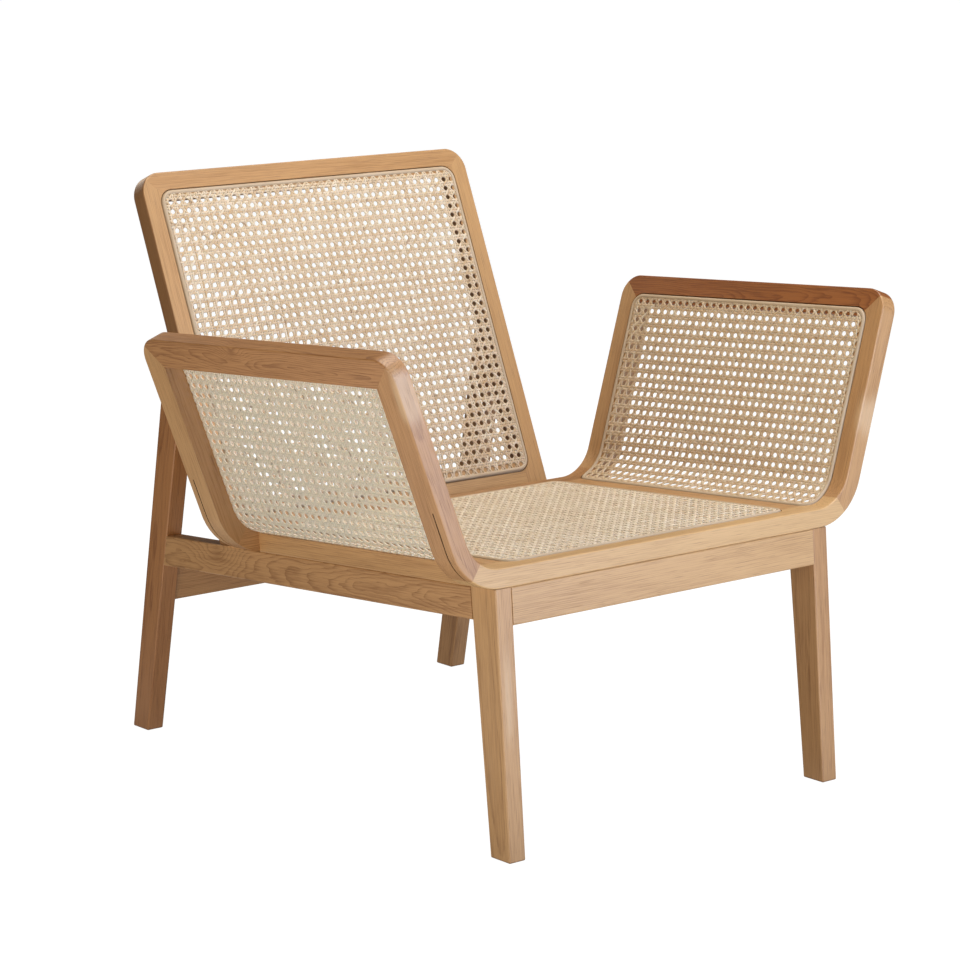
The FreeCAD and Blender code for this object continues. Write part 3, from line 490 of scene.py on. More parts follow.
def lay_strands(panel, cane, width, lift, starts, step, waves):
    """Strands of one family on a panel's hole lattice. The middle line of a strand is start + t * step,
    with t in parts of a pitch. Its height is level + lift + wave * (sine, cosine)(2 pi t), less a smooth
    dive to the spline. The section is a flat base with two crown points. Gives points, faces, places
    across and along, and tints."""
    starts = np.stack(starts, -1)
    waves = np.stack(waves, -1)
    draw = np.random.default_rng(cane.seed + len(starts))
    low, high = lattice_reach(panel)
    run = np.arange((low - BEYOND) * PARTS, (high + BEYOND) * PARTS + 1) / PARTS
    lattice = starts[:, None, :] + run[None, :, None] * step
    flat = panel.holes + lattice @ panel.steps
    ahead = np.array(step) @ panel.steps
    ahead = ahead / np.linalg.norm(ahead)
    flip = not panel.right_handed()
    left = np.array((-ahead[1], ahead[0]))
    half = width / 2
    crest = CROWN_WIDTH * half
    base = STRAND_BASE * cane.thick
    crown = STRAND_CROWN * cane.thick
    section = np.array(((half, base), (crest, crown), (-crest, crown), (-half, base)))
    inset = panel.inset(flat)
    sink = np.clip((DIVE_START - inset) / (DIVE_START - STRAND_END), 0.0, 1.0)
    sink = sink * sink * (3.0 - 2.0 * sink) * DIVE
    swing = waves[:, :1] * np.sin(2 * np.pi * run) + waves[:, 1:] * np.cos(2 * np.pi * run)
    height = cane.level + lift + cane.wave * swing - sink
    spread = flat[:, :, None, :] + section[None, None, :, :1] * left
    points = panel.points(spread, height[:, :, None] + section[None, None, :, 1])
    inside = inset > STRAND_END
    joined = inside[:, :-1] & inside[:, 1:]
    rank = np.arange(points[..., 0].size).reshape(points.shape[:3])
    here, there = rank[:, :-1][joined], rank[:, 1:][joined]
    around = np.roll(np.arange(len(section)), -1)
    sides = quads((here, here[:, around], there[:, around], there), flip)
    first = joined & ~np.pad(joined, ((0, 0), (1, 0)))[:, :-1]
    last = joined & ~np.pad(joined, ((0, 0), (0, 1)))[:, 1:]
    fore = quads([rank[:, :-1][first][:, corner] for corner in (0, 3, 2, 1)], flip)
    aft = quads([rank[:, 1:][last][:, corner] for corner in (0, 1, 2, 3)], flip)
    # The tone added on each panel is painted light and shade
    tints = draw.normal(*TINT_DRAW, len(starts)) + PANEL_LIGHT_AND_SHADE[panel.name]
    tint = np.broadcast_to(tints[:, None, None], rank.shape)
    begin = draw.uniform(*STRAND_START, len(starts))
    lay = np.empty(rank.shape + (2,))
    lay[..., 0] = np.linspace(0.0, 1.0, len(section))
    lay[..., 1] = (run * cane.pitch * MM_PER_METRE)[None, :, None] + begin[:, None, None]
    return points.reshape(-1, 3), np.concatenate((sides, fore, aft)), lay.reshape(-1, 2), tint.ravel()


def gathered(*families):
    """Several families of strands as one set of arrays."""
    ends = np.cumsum([0] + [len(family[0]) for family in families[:-1]])
    points, faces, lay, tint = zip(*families)
    faces = [face + end for face, end in zip(faces, ends)]
    return np.concatenate(points), np.concatenate(faces), np.concatenate(lay), np.concatenate(tint)


def weave(panel, cane):
    """Uprights, rows and diagonals of one field. Holes stand at whole places of the lattice, and pairs and
    diagonals run half-way between them. Signs of the waves make each strand cross its neighbours over and
    under."""
    low, high = lattice_reach(panel)
    between = np.arange(low - 1, high + 1) + HALF_WAY
    gap = cane.pair / cane.pitch
    pair = np.concatenate((between - gap, between + gap))
    sign = np.concatenate((np.ones(len(between)), -np.ones(len(between))))
    none = np.zeros(len(pair))
    strand, under = cane.strand, -cane.lift
    uprights = lay_strands(panel, cane, strand, under, (pair, none), (0.0, 1.0), (sign, none))
    rows = lay_strands(panel, cane, strand, under, (none, pair), (1.0, 0.0), (-sign, none))
    wide = np.arange(2 * low - 1, 2 * high + 1) + HALF_WAY
    none = np.zeros(len(wide))
    one = np.ones(len(wide))
    strand, over = cane.diagonal, cane.lift
    rising = lay_strands(panel, cane, strand, over, (wide - low, none), (1.0, 1.0), (none, one))
    falling = lay_strands(panel, cane, strand, over, (wide, none), (-1.0, 1.0), (none, -one))
    return {"uprights": uprights, "rows": rows, "diagonals": gathered(rising, falling)}


# Noises of a strand: stretch across it, along it in millimetres and by its tint, cycles, detail, roughness
CANE_FIBRE = ((1.0, 0.06, 90.0), 7.0, 2.0, 0.5)
# Slow changes and leaf scars: the same, with the tint first and nothing across
CANE_CHANGE = ((57.0, 0.012, 1.0), 1.0, 1.0, 0.5)
CANE_SCAR = ((57.0, 0.072, 1.0), 1.0, 0.0, 0.5)
# Noise at which a scar begins and is full, and how much of its colour it shows
SCAR_EDGE = (0.74, 0.80)
SCAR_SHARE = 0.55
# How brown the tint, the fibres and the slow changes make a strand
CANE_TINT_TONE = 0.9
CANE_FIBRE_TONE = 0.5
CANE_CHANGE_TONE = 0.9
# How much rougher the fibres make it, and the distance and strength of their bump
CANE_FIBRE_ROUGH = 0.2
CANE_BUMP = (0.0002, 0.2)
# How far red, green and blue light travel in a strand, as shares of its depth
CANE_GLOW = (1.0, 0.8, 0.6)


def cane_material(finish):
    """Cane skin: every strand has its own tone, fine fibres run along it and leaf scars cross it."""
    material, tree, shader = start_material("Woven cane")
    tint = Wire.node(tree, "ShaderNodeAttribute", {"attribute_name": "tint"}, pick="Fac")
    lay = Wire.node(tree, "ShaderNodeUVMap", {"uv_map": "Strand"}, pick="UV")
    across, along, _ = lay.parts()
    strand = Wire.node(tree, "ShaderNodeCombineXYZ", {}, {"X": across, "Y": along, "Z": tint})
    run = Wire.node(tree, "ShaderNodeCombineXYZ", {}, {"X": tint, "Y": along})
    fibre = strand.noise(*CANE_FIBRE)
    change = run.noise(*CANE_CHANGE)
    scar = run.noise(*CANE_SCAR).between(*SCAR_EDGE)
    depth = tint * CANE_TINT_TONE + fibre.centred(CANE_FIBRE_TONE) + change.centred(CANE_CHANGE_TONE)
    colour = depth.between(0.0, 1.0).blend(full(finish.light), full(finish.dark))
    colour = (scar * SCAR_SHARE).blend(colour, full(finish.mark))
    plug(tree, shader, Base_Color=colour, Roughness=finish.roughness + fibre.centred(CANE_FIBRE_ROUGH),
         Normal=bumped(fibre, *CANE_BUMP))
    shader.inputs["Subsurface Weight"].default_value = finish.glow
    shader.inputs["Subsurface Radius"].default_value = CANE_GLOW
    shader.inputs["Subsurface Scale"].default_value = finish.depth
    return material


class LOUNGE_OT_weave_cane(bpy.types.Operator):
    """Weave the seat, the back and both arms"""

    bl_idname = "lounge.weave_cane"
    bl_label = "Weave cane"

    def execute(self, context):
        cane = context.scene.lounge_cane
        material = cane_material(cane)
        for panel in panels(context.scene.lounge_shape, cane):
            for family, arrays in weave(panel, cane).items():
                piece = put_mesh("%s_cane_%s" % (panel.name, family), *arrays)
                keep(piece, material, panel.name + "_cane")
        return {"FINISHED"}


# Points round an arc of the spline's corner, points over its crown, and the length of a straight step
ARC_POINTS = 9
CROWN_POINTS = 9
RUN_STEP = 0.012
# How far the ends of the crown lie below the wood, as a share of the spline's half width
SHOULDER = 0.3


def spline_path(panel, inset):
    """Middle line of a spline: the field's rounded outline, a distance inside its outer edge, run counter-
    clockwise from the lower right corner. Gives points, outward directions and distances along."""
    radius = panel.corner - inset
    core = panel.half - panel.corner
    flat, out = [], []
    for number, corner in enumerate(CORNERS):
        angle = np.linspace(-0.5, 0.0, ARC_POINTS) * math.pi + number * math.pi / 2
        aim = np.stack((np.cos(angle), np.sin(angle)), -1)
        arc = panel.middle + core * corner + radius * aim
        following = CORNERS[(number + 1) % len(CORNERS)]
        end = panel.middle + core * following + radius * aim[-1]
        count = int(np.linalg.norm(end - arc[-1]) / RUN_STEP)
        part = np.arange(1, count)[:, None] / count
        flat += [arc, arc[-1] + (end - arc[-1]) * part]
        out += [aim, np.repeat(aim[-1:], count - 1, axis=0)]
    flat, out = np.concatenate(flat), np.concatenate(out)
    steps = np.linalg.norm(np.diff(flat, axis=0, append=flat[:1]), axis=1)
    return flat, out, np.concatenate(([0.0], np.cumsum(steps)))


def spline_bead(panel, shape, reed):
    """Reed spline: a profile with a half-ellipse crown and a square foot in the groove, carried round the
    field's outline."""
    half = (shape.spline - reed.clearance + reed.lap) / 2
    flat, out, along = spline_path(panel, reed.clearance + half)
    angle = np.linspace(0.0, math.pi, CROWN_POINTS)
    low = -SHOULDER * half
    crown = np.stack((half * np.cos(angle), low + (reed.crown - low) * np.sin(angle)), -1)
    foot = -shape.groove + reed.clearance
    profile = np.concatenate((crown, ((reed.lap - half, foot), (half, foot))))
    closed = np.arange(len(flat) + 1) % len(flat)
    spread = flat[closed][:, None, :] + profile[None, :, :1] * out[closed][:, None, :]
    points = panel.points(spread, np.broadcast_to(profile[:, 1], spread.shape[:2]))
    rank = np.arange(points[..., 0].size).reshape(points.shape[:2])
    rank[-1] = rank[0]
    ring = np.roll(np.arange(len(profile)), -1)
    here, there = rank[:-1], np.roll(rank[:-1], -1, axis=0)
    faces = quads((here, there, there[:, ring], here[:, ring]), not panel.right_handed())
    lay = np.empty(points.shape[:2] + (2,))
    lay[..., 0] = np.linspace(0.0, 1.0, len(profile))
    lay[..., 1] = along[:, None] * MM_PER_METRE
    return points.reshape(-1, 3), faces, lay.reshape(-1, 2)


# Noises of the reed: stretch round it and along it in millimetres, cycles, detail and roughness
REED_FIBRE = ((9.0, 0.02, 1.0), 1.0, 3.0, 0.5)
REED_CHANGE = ((0.0, 0.01, 1.0), 1.0, 2.0, 0.5)
# How brown the fibres and slow changes make it, and how brown it is without them
REED_FIBRE_TONE = 1.3
REED_CHANGE_TONE = 0.7
REED_TONE = 0.3
# How much rougher the fibres make it, and the distance and strength of their bump
REED_FIBRE_ROUGH = 0.2
REED_BUMP = (0.0003, 0.3)


def reed_material(finish):
    """Reed: pale pith with darker fibres along it."""
    material, tree, shader = start_material("Reed spline")
    lay = Wire.node(tree, "ShaderNodeUVMap", {"uv_map": "Strand"}, pick="UV")
    fibre = lay.noise(*REED_FIBRE)
    change = lay.noise(*REED_CHANGE)
    depth = fibre.centred(REED_FIBRE_TONE) + change.centred(REED_CHANGE_TONE) + REED_TONE
    colour = depth.between(0.0, 1.0).blend(full(finish.light), full(finish.dark))
    plug(tree, shader, Base_Color=colour, Roughness=finish.roughness + fibre.centred(REED_FIBRE_ROUGH),
         Normal=bumped(fibre, *REED_BUMP))
    return material


class LOUNGE_OT_lay_splines(bpy.types.Operator):
    """Lay the reed splines round the cane"""

    bl_idname = "lounge.lay_splines"
    bl_label = "Lay splines"

    def execute(self, context):
        shape = context.scene.lounge_shape
        reed = context.scene.lounge_reed
        material = reed_material(reed)
        for panel in panels(shape, context.scene.lounge_cane):
            points, faces, lay = spline_bead(panel, shape, reed)
            piece = put_mesh(panel.name + "_reed", points, faces, lay)
            keep(piece, material, panel.name + "_spline")
        return {"FINISHED"}


# How dark each oak board is, below zero paler, and the boards that are plain-sawn. The darkness is partly
# each board's own tone and partly painted light and shade: members in less light, such as the left rear leg
# and the right arm's top rail, are darker, and front members in more light are paler
BOARD_TONE_AND_SHADE = {
    "front_apron": -0.35, "rear_apron": 0.25, "front_seat_rail": -0.60, "rear_seat_rail": 0.20,
    "back_top_rail": -0.05, "back_bottom_rail": -0.30, "back_stile_left": -0.20, "back_stile_right": -0.20,
    "front_leg_left": -0.10, "front_leg_right": 0.15, "rear_leg_left": 0.65, "rear_leg_right": 0.20,
    "side_rail_left": 0.12, "side_rail_right": 0.12, "seat_side_rail_left": -0.05,
    "seat_side_rail_right": -0.05, "arm_top_rail_left": 0.40, "arm_top_rail_right": 0.98,
    "front_arm_stile_left": 0.20, "front_arm_stile_right": 0.05, "rear_arm_stile_left": -0.10,
    "rear_arm_stile_right": -0.20,
}
PLAIN_SAWN = ("side_rail_left", "side_rail_right", "arm_top_rail_left", "arm_top_rail_right")
# First seed of the boards' random draws
BOARD_SEED = 100
# Knots seen on a board: place along and across from its middle, reach along and across, and how far they
# push the growth rings apart, in millimetres
KNOTS = {
    "arm_top_rail_left": ((52.0, 11.0), (22.0, 9.0), 8.0),
    "side_rail_left": ((190.0, 6.0), (48.0, 24.0), 17.0),
}
# How many times smaller than the knot its dark eye is, and how dark
KNOT_EYE = 3.0
KNOT_TONE = 0.5
# Pale sapwood seen on a board: place along and across from its middle, and reach along and across
SAPWOOD = {
    "front_arm_stile_left": ((96.0, -18.0), (34.0, 9.0)),
    "front_arm_stile_right": ((-16.0, -18.0), (30.0, 9.0)),
    "front_leg_left": ((20.0, -2.0), (70.0, 7.0)),
}
# How much streaks and broad bands fray the sapwood, where its edge begins and ends, and how pale it is
SAP_STREAK = 1.2
SAP_BROAD = 1.5
SAP_EDGE = (0.2, 0.9)
SAP_SHARE = 0.45
# Noises of the oak: stretch along the grain, across the face and through the board, cycles for each
# millimetre, detail and roughness
WANDER = ((0.3, 1.0, 1.0), 0.03, 3.0, 0.5)
SWAY = ((1.0, 0.5, 0.5), 0.007, 1.0, 0.5)
FIBRE = ((0.025, 1.0, 1.0), 0.75, 4.0, 0.7)
STREAK = ((0.03, 1.0, 1.0), 0.6, 3.0, 0.65)
BROAD = ((0.10, 1.0, 1.0), 0.04, 2.0, 0.5)
PORES = ((0.035, 1.0, 1.0), 0.85, 1.0, 0.5)
# Ranges of a board's random draws: start of its noises, nearer and farther place of its pith from its
# middle, in millimetres, slopes of the pith line across the face and through the board, and their signs
NOISE_START = (-500.0, 500.0)
PITH_NEAR = (-6.0, 6.0)
PITH_FAR = (16.0, 26.0)
SLOPE_ACROSS = (-0.02, 0.02)
SLOPE_THROUGH = (0.03, 0.06)
EITHER_WAY = (-1.0, 1.0)
# How many times farther the pith of a quarter-sawn board is
QUARTER_FAR = 3.0
# How far the growth rings wander, and how far fibres shift them, in millimetres
PLAIN_SWING = 16.0
QUARTER_SWING = 5.0
FIBRE_SHIFT = 0.9
# How dark fibres, streaks, broad bands and late wood make a board, how dark it is without them, and how
# much they grow on a darker board
FIBRE_TONE = 1.4
STREAK_TONE = 1.2
BROAD_TONE = 0.9
PLAIN_LATE = 0.6
QUARTER_LATE = 0.35
BASE_TONE = 0.22
DARK_CONTRAST = 0.5
# Power that gathers the late wood at the end of a growth ring
LATE_POWER = 3.0
# Noise at which a pore begins and is full, and how much of its colour it shows, and more in late wood
PORE_EDGE = (0.60, 0.72)
PORE_EARLY = 0.12
PORE_LATE = 0.4
# How much rougher pores and fibres make the oak, how far fibres rise, and the bump's distance and strength
PORE_ROUGH = 0.2
FIBRE_ROUGH = 0.15
FIBRE_RISE = 0.5
OAK_BUMP = (0.0004, 0.2)
# Painted shade: darkening of a leg's foot up to this height, and of edges of the back's and the arms'
# stiles over this depth, with their strengths
FOOT_RISE = 0.0030
FOOT_SHADOW = 0.7
EDGE_DEPTH = 0.0006
OUTER_SHADE = 0.7
INNER_SHADE = 0.5
ARM_SHADE = 0.35
# Radius of the back's outer corners, and widths of the back's stiles and the arms' stiles
BACK_CORNER = 0.030
BACK_STILE_WIDTH = 0.034
STILE_WIDTH = 0.037
# Slopes of the front and rear legs: how far they go to the rear for each unit up
FRONT_LEG_SLOPE = 0.11
REAR_LEG_SLOPE = -0.16


def member_grain(shape):
    """Direction of the grain, and a direction across it on the widest face, for each oak member."""
    shell = shell_frame(shape).to_3x3()
    rear = shell @ Vector((0.0, 1.0, 0.0))
    up = shell @ Vector((0.0, 0.0, 1.0))
    wide = Vector((1.0, 0.0, 0.0))
    recline = Vector((0.0, math.sin(shape.recline), math.cos(shape.recline)))
    grain = {"front_apron": (wide, up), "rear_apron": (wide, up), "front_seat_rail": (wide, up),
             "rear_seat_rail": (wide, up), "back_top_rail": (wide, recline),
             "back_bottom_rail": (wide, recline)}
    for side, sign in (("left", -1.0), ("right", 1.0)):
        lean = shell @ Vector((sign * math.sin(shape.lean), 0.0, math.cos(shape.lean)))
        grain["front_leg_" + side] = (Vector((0.0, FRONT_LEG_SLOPE, 1.0)), wide)
        grain["rear_leg_" + side] = (Vector((0.0, REAR_LEG_SLOPE, 1.0)), wide)
        grain["side_rail_" + side] = (rear, up)
        grain["seat_side_rail_" + side] = (rear, up)
        grain["arm_top_rail_" + side] = (rear, lean)
        grain["front_arm_stile_" + side] = (lean, rear)
        grain["rear_arm_stile_" + side] = (lean, rear)
        grain["back_stile_" + side] = (recline, wide)
    return grain


def board_place(coords, axis, across, middle):
    """Place on a board, from its middle, in millimetres along the grain, across its face and through it."""
    along = Vector(axis).normalized()
    side = Vector(across) - along * along.dot(Vector(across))
    side.normalize()
    rows = Matrix((along, side, along.cross(side)))
    shift = -(rows @ Vector(middle)) * MM_PER_METRE
    return Wire.node(coords.tree, "ShaderNodeMapping", {}, {
        "Vector": coords, "Location": shift, "Rotation": rows.to_euler(), "Scale": (MM_PER_METRE,) * 3})


def pith_distance(place, moved, draw, plain):
    """Distance from a pith line that runs along the member, slopes and wanders: the root of the squares of
    the distances across the face and through the board. A plain-sawn board has the pith behind its face,
    a quarter-sawn board beside it."""
    x, y, z = place
    near = draw.uniform(*PITH_NEAR)
    far = draw.uniform(*PITH_FAR) * draw.choice(EITHER_WAY)
    heart_y, heart_z = (near, far) if plain else (QUARTER_FAR * far, near)
    slope_y = draw.uniform(*SLOPE_ACROSS)
    slope_z = draw.uniform(*SLOPE_THROUGH) * draw.choice(EITHER_WAY)
    swing = PLAIN_SWING if plain else QUARTER_SWING
    reach_y = y + x * slope_y - heart_y + moved.noise(*SWAY).centred(swing)
    reach_z = z + x * slope_z - heart_z + moved.noise(*WANDER).centred(swing)
    return (reach_y * reach_y + reach_z * reach_z) ** 0.5


def shade_line(inset, edge):
    """Painted shade as a dark line along an edge: none two depths before it, full one depth before it."""
    return inset.between(edge - 2.0 * EDGE_DEPTH, edge - EDGE_DEPTH)


def painted_foot_shadow(coords, _):
    """Painted contact shadow at the foot of a leg: full at the floor, none at the mark's top height."""
    height = coords.parts()[2]
    return height.between(FOOT_RISE, 0.0) * FOOT_SHADOW


def back_edge_shade(coords, shape):
    """Painted shade on the back's edges: outer, where a point is as far from the corner's core as the
    corner's radius, and inner, where it is as far from the outer edge as the stile is wide."""
    up = coords.distance(shape.back_top, (0.0, math.sin(shape.recline), math.cos(shape.recline)))
    x = coords.parts()[0]
    over = up.maths("MAXIMUM", up + BACK_CORNER, 0.0)
    out = x.maths("ABSOLUTE", x) - (shape.back_half - BACK_CORNER)
    reach = (over * over + out * out) ** 0.5
    inset = BACK_CORNER - out
    return shade_line(reach, BACK_CORNER) * OUTER_SHADE + shade_line(inset, BACK_STILE_WIDTH) * INNER_SHADE


def arm_inner_shade(coords, shape):
    """Painted shade on the inner edge of an arm's stiles: where a point is as far from the arm's end as
    they are wide.
    """
    rear = (0.0, math.cos(shape.tilt), -math.sin(shape.tilt))
    run = coords.distance((0.0, shape.hoop_front, shape.seat_front), rear)
    inset = run.maths("MINIMUM", run, shape.depth - run)
    return shade_line(inset, STILE_WIDTH) * ARM_SHADE


# Painted shade of the members, by a word in their node's name
PAINTED_SHADES = {"leg": painted_foot_shadow, "back_stile": back_edge_shade, "arm_stile": arm_inner_shade}


def oak(node, axis, across, middle, shape, finish, seed):
    """Oiled oak: growth rings about the pith, pores drawn out along the grain, and slow changes of tone.
    Late wood is the ring's fraction to a power. Knots push the rings apart, sapwood is paler, and a mark of
    painted shade darkens edges and feet by the place in the chair."""
    material, tree, shader = start_material("Oak " + node)
    coords = Wire.node(tree, "ShaderNodeTexCoord", pick="Object")
    local = board_place(coords, axis, across, middle)
    x, y, z = local.parts()
    draw = np.random.default_rng(seed)
    moved = local.vector("ADD", draw.uniform(*NOISE_START, 3))
    # The board's darkness is partly its own tone and partly painted light and shade
    tone_and_shade = BOARD_TONE_AND_SHADE[node]
    plain = node in PLAIN_SAWN
    fibre = moved.noise(*FIBRE)
    streak = moved.noise(*STREAK)
    broad = moved.noise(*BROAD)
    pores = moved.noise(*PORES).between(*PORE_EDGE)
    radius = pith_distance((x, y, z), moved, draw, plain) + fibre.centred(FIBRE_SHIFT)
    contrast = 1.0 + DARK_CONTRAST * tone_and_shade
    depth = fibre.centred(FIBRE_TONE) + streak.centred(STREAK_TONE) + broad.centred(BROAD_TONE)
    depth = depth * contrast + BASE_TONE
    if node in KNOTS:
        centre, reach, push = KNOTS[node]
        radius = radius + x.bell(y, centre, reach) * push
        depth = depth + x.bell(y, centre, [size / KNOT_EYE for size in reach]) * KNOT_TONE
    ring = (finish.ring_plain if plain else finish.ring_quarter) * MM_PER_METRE
    late = (radius / ring).fraction() ** LATE_POWER
    depth = depth + late * (contrast * (PLAIN_LATE if plain else QUARTER_LATE))
    tint = [1.0 - tone_and_shade * (1.0 - value) for value in finish.dark_tint]
    light, dark, pore = [full([value * part for value, part in zip(colour, tint)])
                         for colour in (finish.light, finish.dark, finish.pore)]
    colour = depth.between(0.0, 1.0).blend(light, dark)
    if node in SAPWOOD:
        centre, reach = SAPWOOD[node]
        pale = x.bell(y, centre, reach) + streak.centred(SAP_STREAK) + broad.centred(SAP_BROAD)
        colour = (pale.between(*SAP_EDGE) * SAP_SHARE).blend(colour, full(finish.sap))
    colour = (pores * (PORE_EARLY + PORE_LATE * late)).blend(colour, pore)
    # Each mark paints shade: it blends the board towards the painted shade colour
    for word, mark in PAINTED_SHADES.items():
        if word in node:
            colour = mark(coords, shape).blend(colour, full(finish.painted_shade))
    roughness = finish.roughness + pores * PORE_ROUGH + fibre.centred(FIBRE_ROUGH)
    plug(tree, shader, Base_Color=colour, Roughness=roughness,
         Normal=bumped(fibre * FIBRE_RISE - pores, *OAK_BUMP))
    shader.inputs["Specular IOR Level"].default_value = finish.gloss
    return material


class LOUNGE_OT_finish_oak(bpy.types.Operator):
    """Give every oak member its own board, with the grain along it"""

    bl_idname = "lounge.finish_oak"
    bl_label = "Finish oak"

    def execute(self, context):
        finish = context.scene.lounge_oak
        shape = context.scene.lounge_shape
        for number, (node, (axis, across)) in enumerate(member_grain(shape).items()):
            low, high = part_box(node)
            material = oak(node, axis, across, (low + high) / 2, shape, finish, BOARD_SEED + number)
            give(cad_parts[node], material)
        return {"FINISHED"}


# Finishes of the fixings, by the last word of their nodes: name, light and dark colour, metal and roughness
FIXINGS = {
    ("dowels", "tenons"): ("Beech pegs", (0.50, 0.33, 0.18), (0.36, 0.22, 0.11), 0.0, 0.6),
    # The keys are near black, darker than walnut: painted shade of the dark slit they sit in
    ("keys",): ("Walnut keys", (0.016, 0.008, 0.004), (0.010, 0.005, 0.002), 0.0, 0.7),
    ("screws",): ("Plated steel", (0.55, 0.55, 0.56), (0.40, 0.40, 0.41), 1.0, 0.35),
}
# Noise of their streaks: stretch, cycles for each metre, detail and roughness, where a streak begins and
# is full, and how much rougher it is
FIXING_STREAK = ((1.0, 1.0, 1.0), 420.0, 3.0, 0.5)
FIXING_EDGE = (0.3, 0.7)
FIXING_ROUGH = 0.2


def fixing_material(name, light, dark, metallic, roughness):
    """Dowel wood or plated steel: fine streaks between two tones."""
    material, tree, shader = start_material(name)
    coords = Wire.node(tree, "ShaderNodeTexCoord", pick="Object")
    streak = coords.noise(*FIXING_STREAK)
    colour = streak.between(*FIXING_EDGE).blend(full(light), full(dark))
    plug(tree, shader, Base_Color=colour, Roughness=roughness + streak.centred(FIXING_ROUGH))
    shader.inputs["Metallic"].default_value = metallic
    return material


class LOUNGE_OT_finish_fixings(bpy.types.Operator):
    """Finish the dowels, tenons, keys and screws"""

    bl_idname = "lounge.finish_fixings"
    bl_label = "Finish fixings"

    def execute(self, context):
        for words, look in FIXINGS.items():
            material = fixing_material(*look)
            for node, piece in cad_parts.items():
                if node.endswith(words):
                    give(piece, material)
        return {"FINISHED"}


# Half the floor's side, in metres, its grey and its roughness
FLOOR_HALF = 30.0
FLOOR_GREY = 0.1
FLOOR_ROUGH = 0.9
# Where the floor's glow begins and is full: distances from the chair's middle, and places along Y
GLOW_RING = (0.25, 0.75)
GLOW_FRONT = (0.9, 0.1)
# Lights: name, power and colour in the stage's settings, width and height, place, and the point that
# they face, in metres
LIGHTS = (
    ("Key light", "key", "daylight", (1.0, 1.6), (0.4, -1.75, 0.85), (0.0, 0.0, 0.6)),
    ("Fill light", "fill", "lamplight", (1.6, 0.9), (-2.2, -0.9, 0.47), (0.0, 0.0, 0.35)),
    ("Top light", "top", "lamplight", (1.5, 1.5), (0.4, -0.1, 2.6), (0.0, 0.0, 0.35)),
    ("Rear light", "rear", "lamplight", (1.0, 1.2), (0.1, 2.4, 0.9), (0.0, 0.0, 0.35)),
)
# Width of the camera's sensor in millimetres, and how far it sees in metres
SENSOR = 36.0
SIGHT = 100.0


def studio_world(setup):
    """Even white light from all round: plain white to the camera, weak on everything else."""
    world = bpy.data.worlds.new("Studio")
    world.use_nodes = True
    tree = world.node_tree
    sky = tree.nodes["Background"]
    sky.inputs["Color"].default_value = WHITE
    seen = Wire.node(tree, "ShaderNodeLightPath", pick="Is Camera Ray")
    tree.links.new((setup.sky + seen * (1.0 - setup.sky)).socket, sky.inputs["Strength"])
    return world


def floor_material(setup):
    """Pale floor: plain white to the camera. The chair is lit by its glow in front, and less from below."""
    material, tree, shader = start_material("Pale floor")
    shader.inputs["Base Color"].default_value = full((FLOOR_GREY,) * 3)
    shader.inputs["Roughness"].default_value = FLOOR_ROUGH
    shader.inputs["Specular IOR Level"].default_value = 0.0
    shader.inputs["Emission Strength"].default_value = 1.0
    seen = Wire.node(tree, "ShaderNodeLightPath", pick="Is Camera Ray")
    x, y, _ = Wire.node(tree, "ShaderNodeTexCoord", pick="Object").parts()
    clear = ((x * x + y * y) ** 0.5).between(*GLOW_RING) * y.between(*GLOW_FRONT)
    lit = clear.blend(full((setup.dusk,) * 3), full((setup.glow,) * 3))
    plug(tree, shader, Emission_Color=seen.blend(lit, WHITE))
    return material


def soft_light(name, power, colour, size, place, aim):
    """Rectangular area light at a place, aimed at a point."""
    lamp = bpy.data.lights.new(name, "AREA")
    lamp.energy = power
    lamp.shape = "RECTANGLE"
    lamp.size, lamp.size_y = size
    lamp.color = colour
    holder = bpy.data.objects.new(name, lamp)
    bpy.context.scene.collection.objects.link(holder)
    heading = Vector(aim) - Vector(place)
    holder.matrix_world = Matrix.Translation(place) @ heading.to_track_quat("-Z", "Y").to_matrix().to_4x4()


def photo_camera(setup):
    """Camera at a distance from its target, headed by azimuth and elevation and rolled about its axis."""
    camera = bpy.data.cameras.new("Camera")
    camera.sensor_width = SENSOR
    camera.lens = setup.lens
    camera.clip_end = SIGHT
    holder = bpy.data.objects.new("Camera", camera)
    azimuth, elevation, roll = setup.azimuth, setup.elevation, setup.roll
    ahead = Vector((math.sin(azimuth) * math.cos(elevation), math.cos(azimuth) * math.cos(elevation),
                    -math.sin(elevation)))
    right = Vector((math.cos(azimuth), -math.sin(azimuth), 0.0))
    up = right.cross(ahead)
    place = Vector(setup.target) + right * setup.across - ahead * setup.distance
    tilted = right * math.cos(roll) + up * math.sin(roll)
    upward = up * math.cos(roll) - right * math.sin(roll)
    turned = Matrix((tilted, upward, -ahead)).transposed()
    holder.matrix_world = Matrix.Translation(place) @ turned.to_4x4()
    return holder


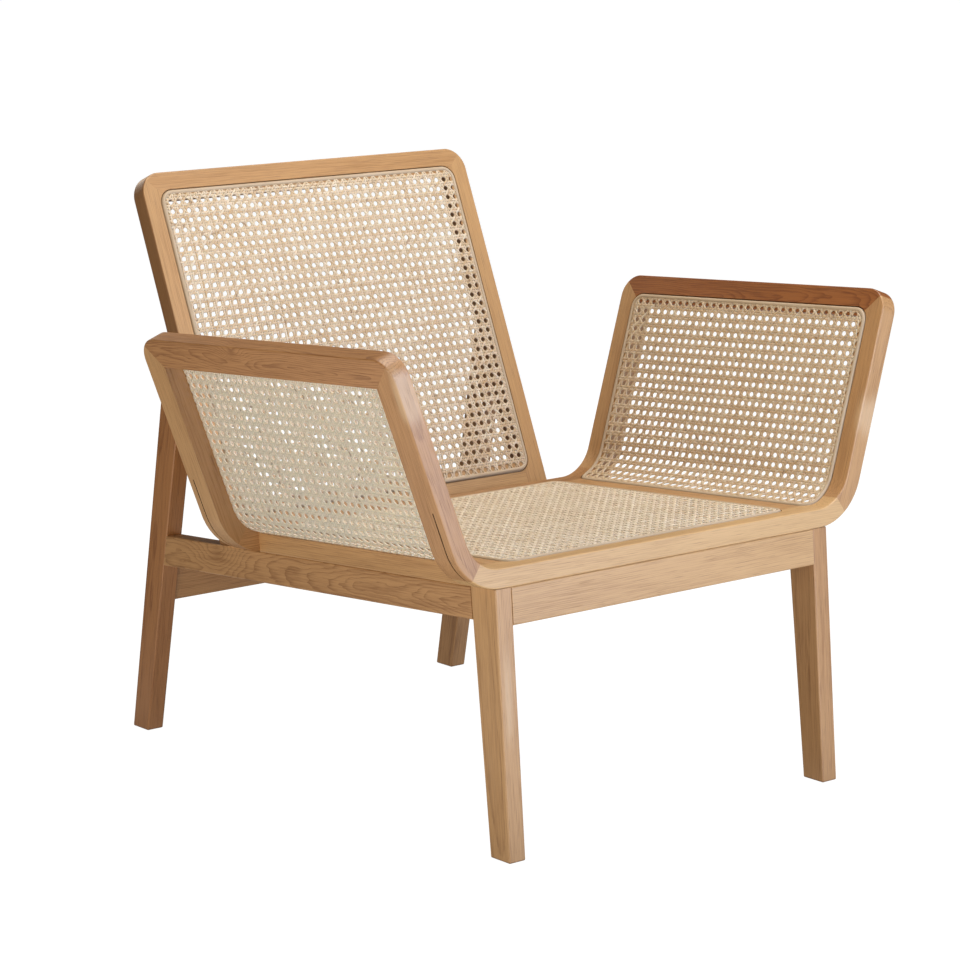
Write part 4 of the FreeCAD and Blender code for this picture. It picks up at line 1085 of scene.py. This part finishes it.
class LOUNGE_OT_set_stage(bpy.types.Operator):
    """Set the floor, the light and the camera"""

    bl_idname = "lounge.set_stage"
    bl_label = "Set stage"

    def execute(self, context):
        scene = context.scene
        setup = scene.lounge_stage
        scene.view_settings.view_transform = "Standard"
        scene.world = studio_world(setup)
        mesh = bpy.data.meshes.new("floor")
        mesh.from_pydata([(across * FLOOR_HALF, along * FLOOR_HALF, 0.0) for across, along in CORNERS], [],
                         [range(len(CORNERS))])
        floor = bpy.data.objects.new("floor", mesh)
        scene.collection.objects.link(floor)
        mesh.materials.append(floor_material(setup))
        for name, power, colour, size, place, aim in LIGHTS:
            soft_light(name, getattr(setup, power), getattr(setup, colour), size, place, aim)
        scene.camera = photo_camera(setup)
        scene.collection.objects.link(scene.camera)
        return {"FINISHED"}


OPERATORS = (LOUNGE_OT_weave_cane, LOUNGE_OT_lay_splines, LOUNGE_OT_finish_oak, LOUNGE_OT_finish_fixings,
             LOUNGE_OT_set_stage)


class LOUNGE_PT_chair(bpy.types.Panel):
    """Lists the steps that dress the chair"""

    bl_idname = "LOUNGE_PT_chair"
    bl_label = "Cane lounge chair"
    bl_space_type = "VIEW_3D"
    bl_region_type = "UI"
    bl_category = "Chair"

    def draw(self, context):
        for step in OPERATORS:
            self.layout.operator(step.bl_idname)


GROUPS = {"lounge_shape": ChairShape, "lounge_cane": CaneFinish, "lounge_reed": ReedFinish,
          "lounge_oak": OakFinish, "lounge_stage": StageSetup}
CLASSES = (*GROUPS.values(), *OPERATORS, LOUNGE_PT_chair)


def register():
    """Register the classes and hang the settings on the scene."""
    for item in CLASSES:
        bpy.utils.register_class(item)
    for name, group in GROUPS.items():
        setattr(bpy.types.Scene, name, bpy.props.PointerProperty(type=group))


def unregister():
    """Take the settings and the classes away again."""
    for name in GROUPS:
        delattr(bpy.types.Scene, name)
    for item in reversed(CLASSES):
        bpy.utils.unregister_class(item)


def main():
    """Dress the chair and set the stage."""
    register()
    bpy.ops.lounge.weave_cane()
    bpy.ops.lounge.lay_splines()
    bpy.ops.lounge.finish_oak()
    bpy.ops.lounge.finish_fixings()
    bpy.ops.lounge.set_stage()


if __name__ == "__main__":
    main()
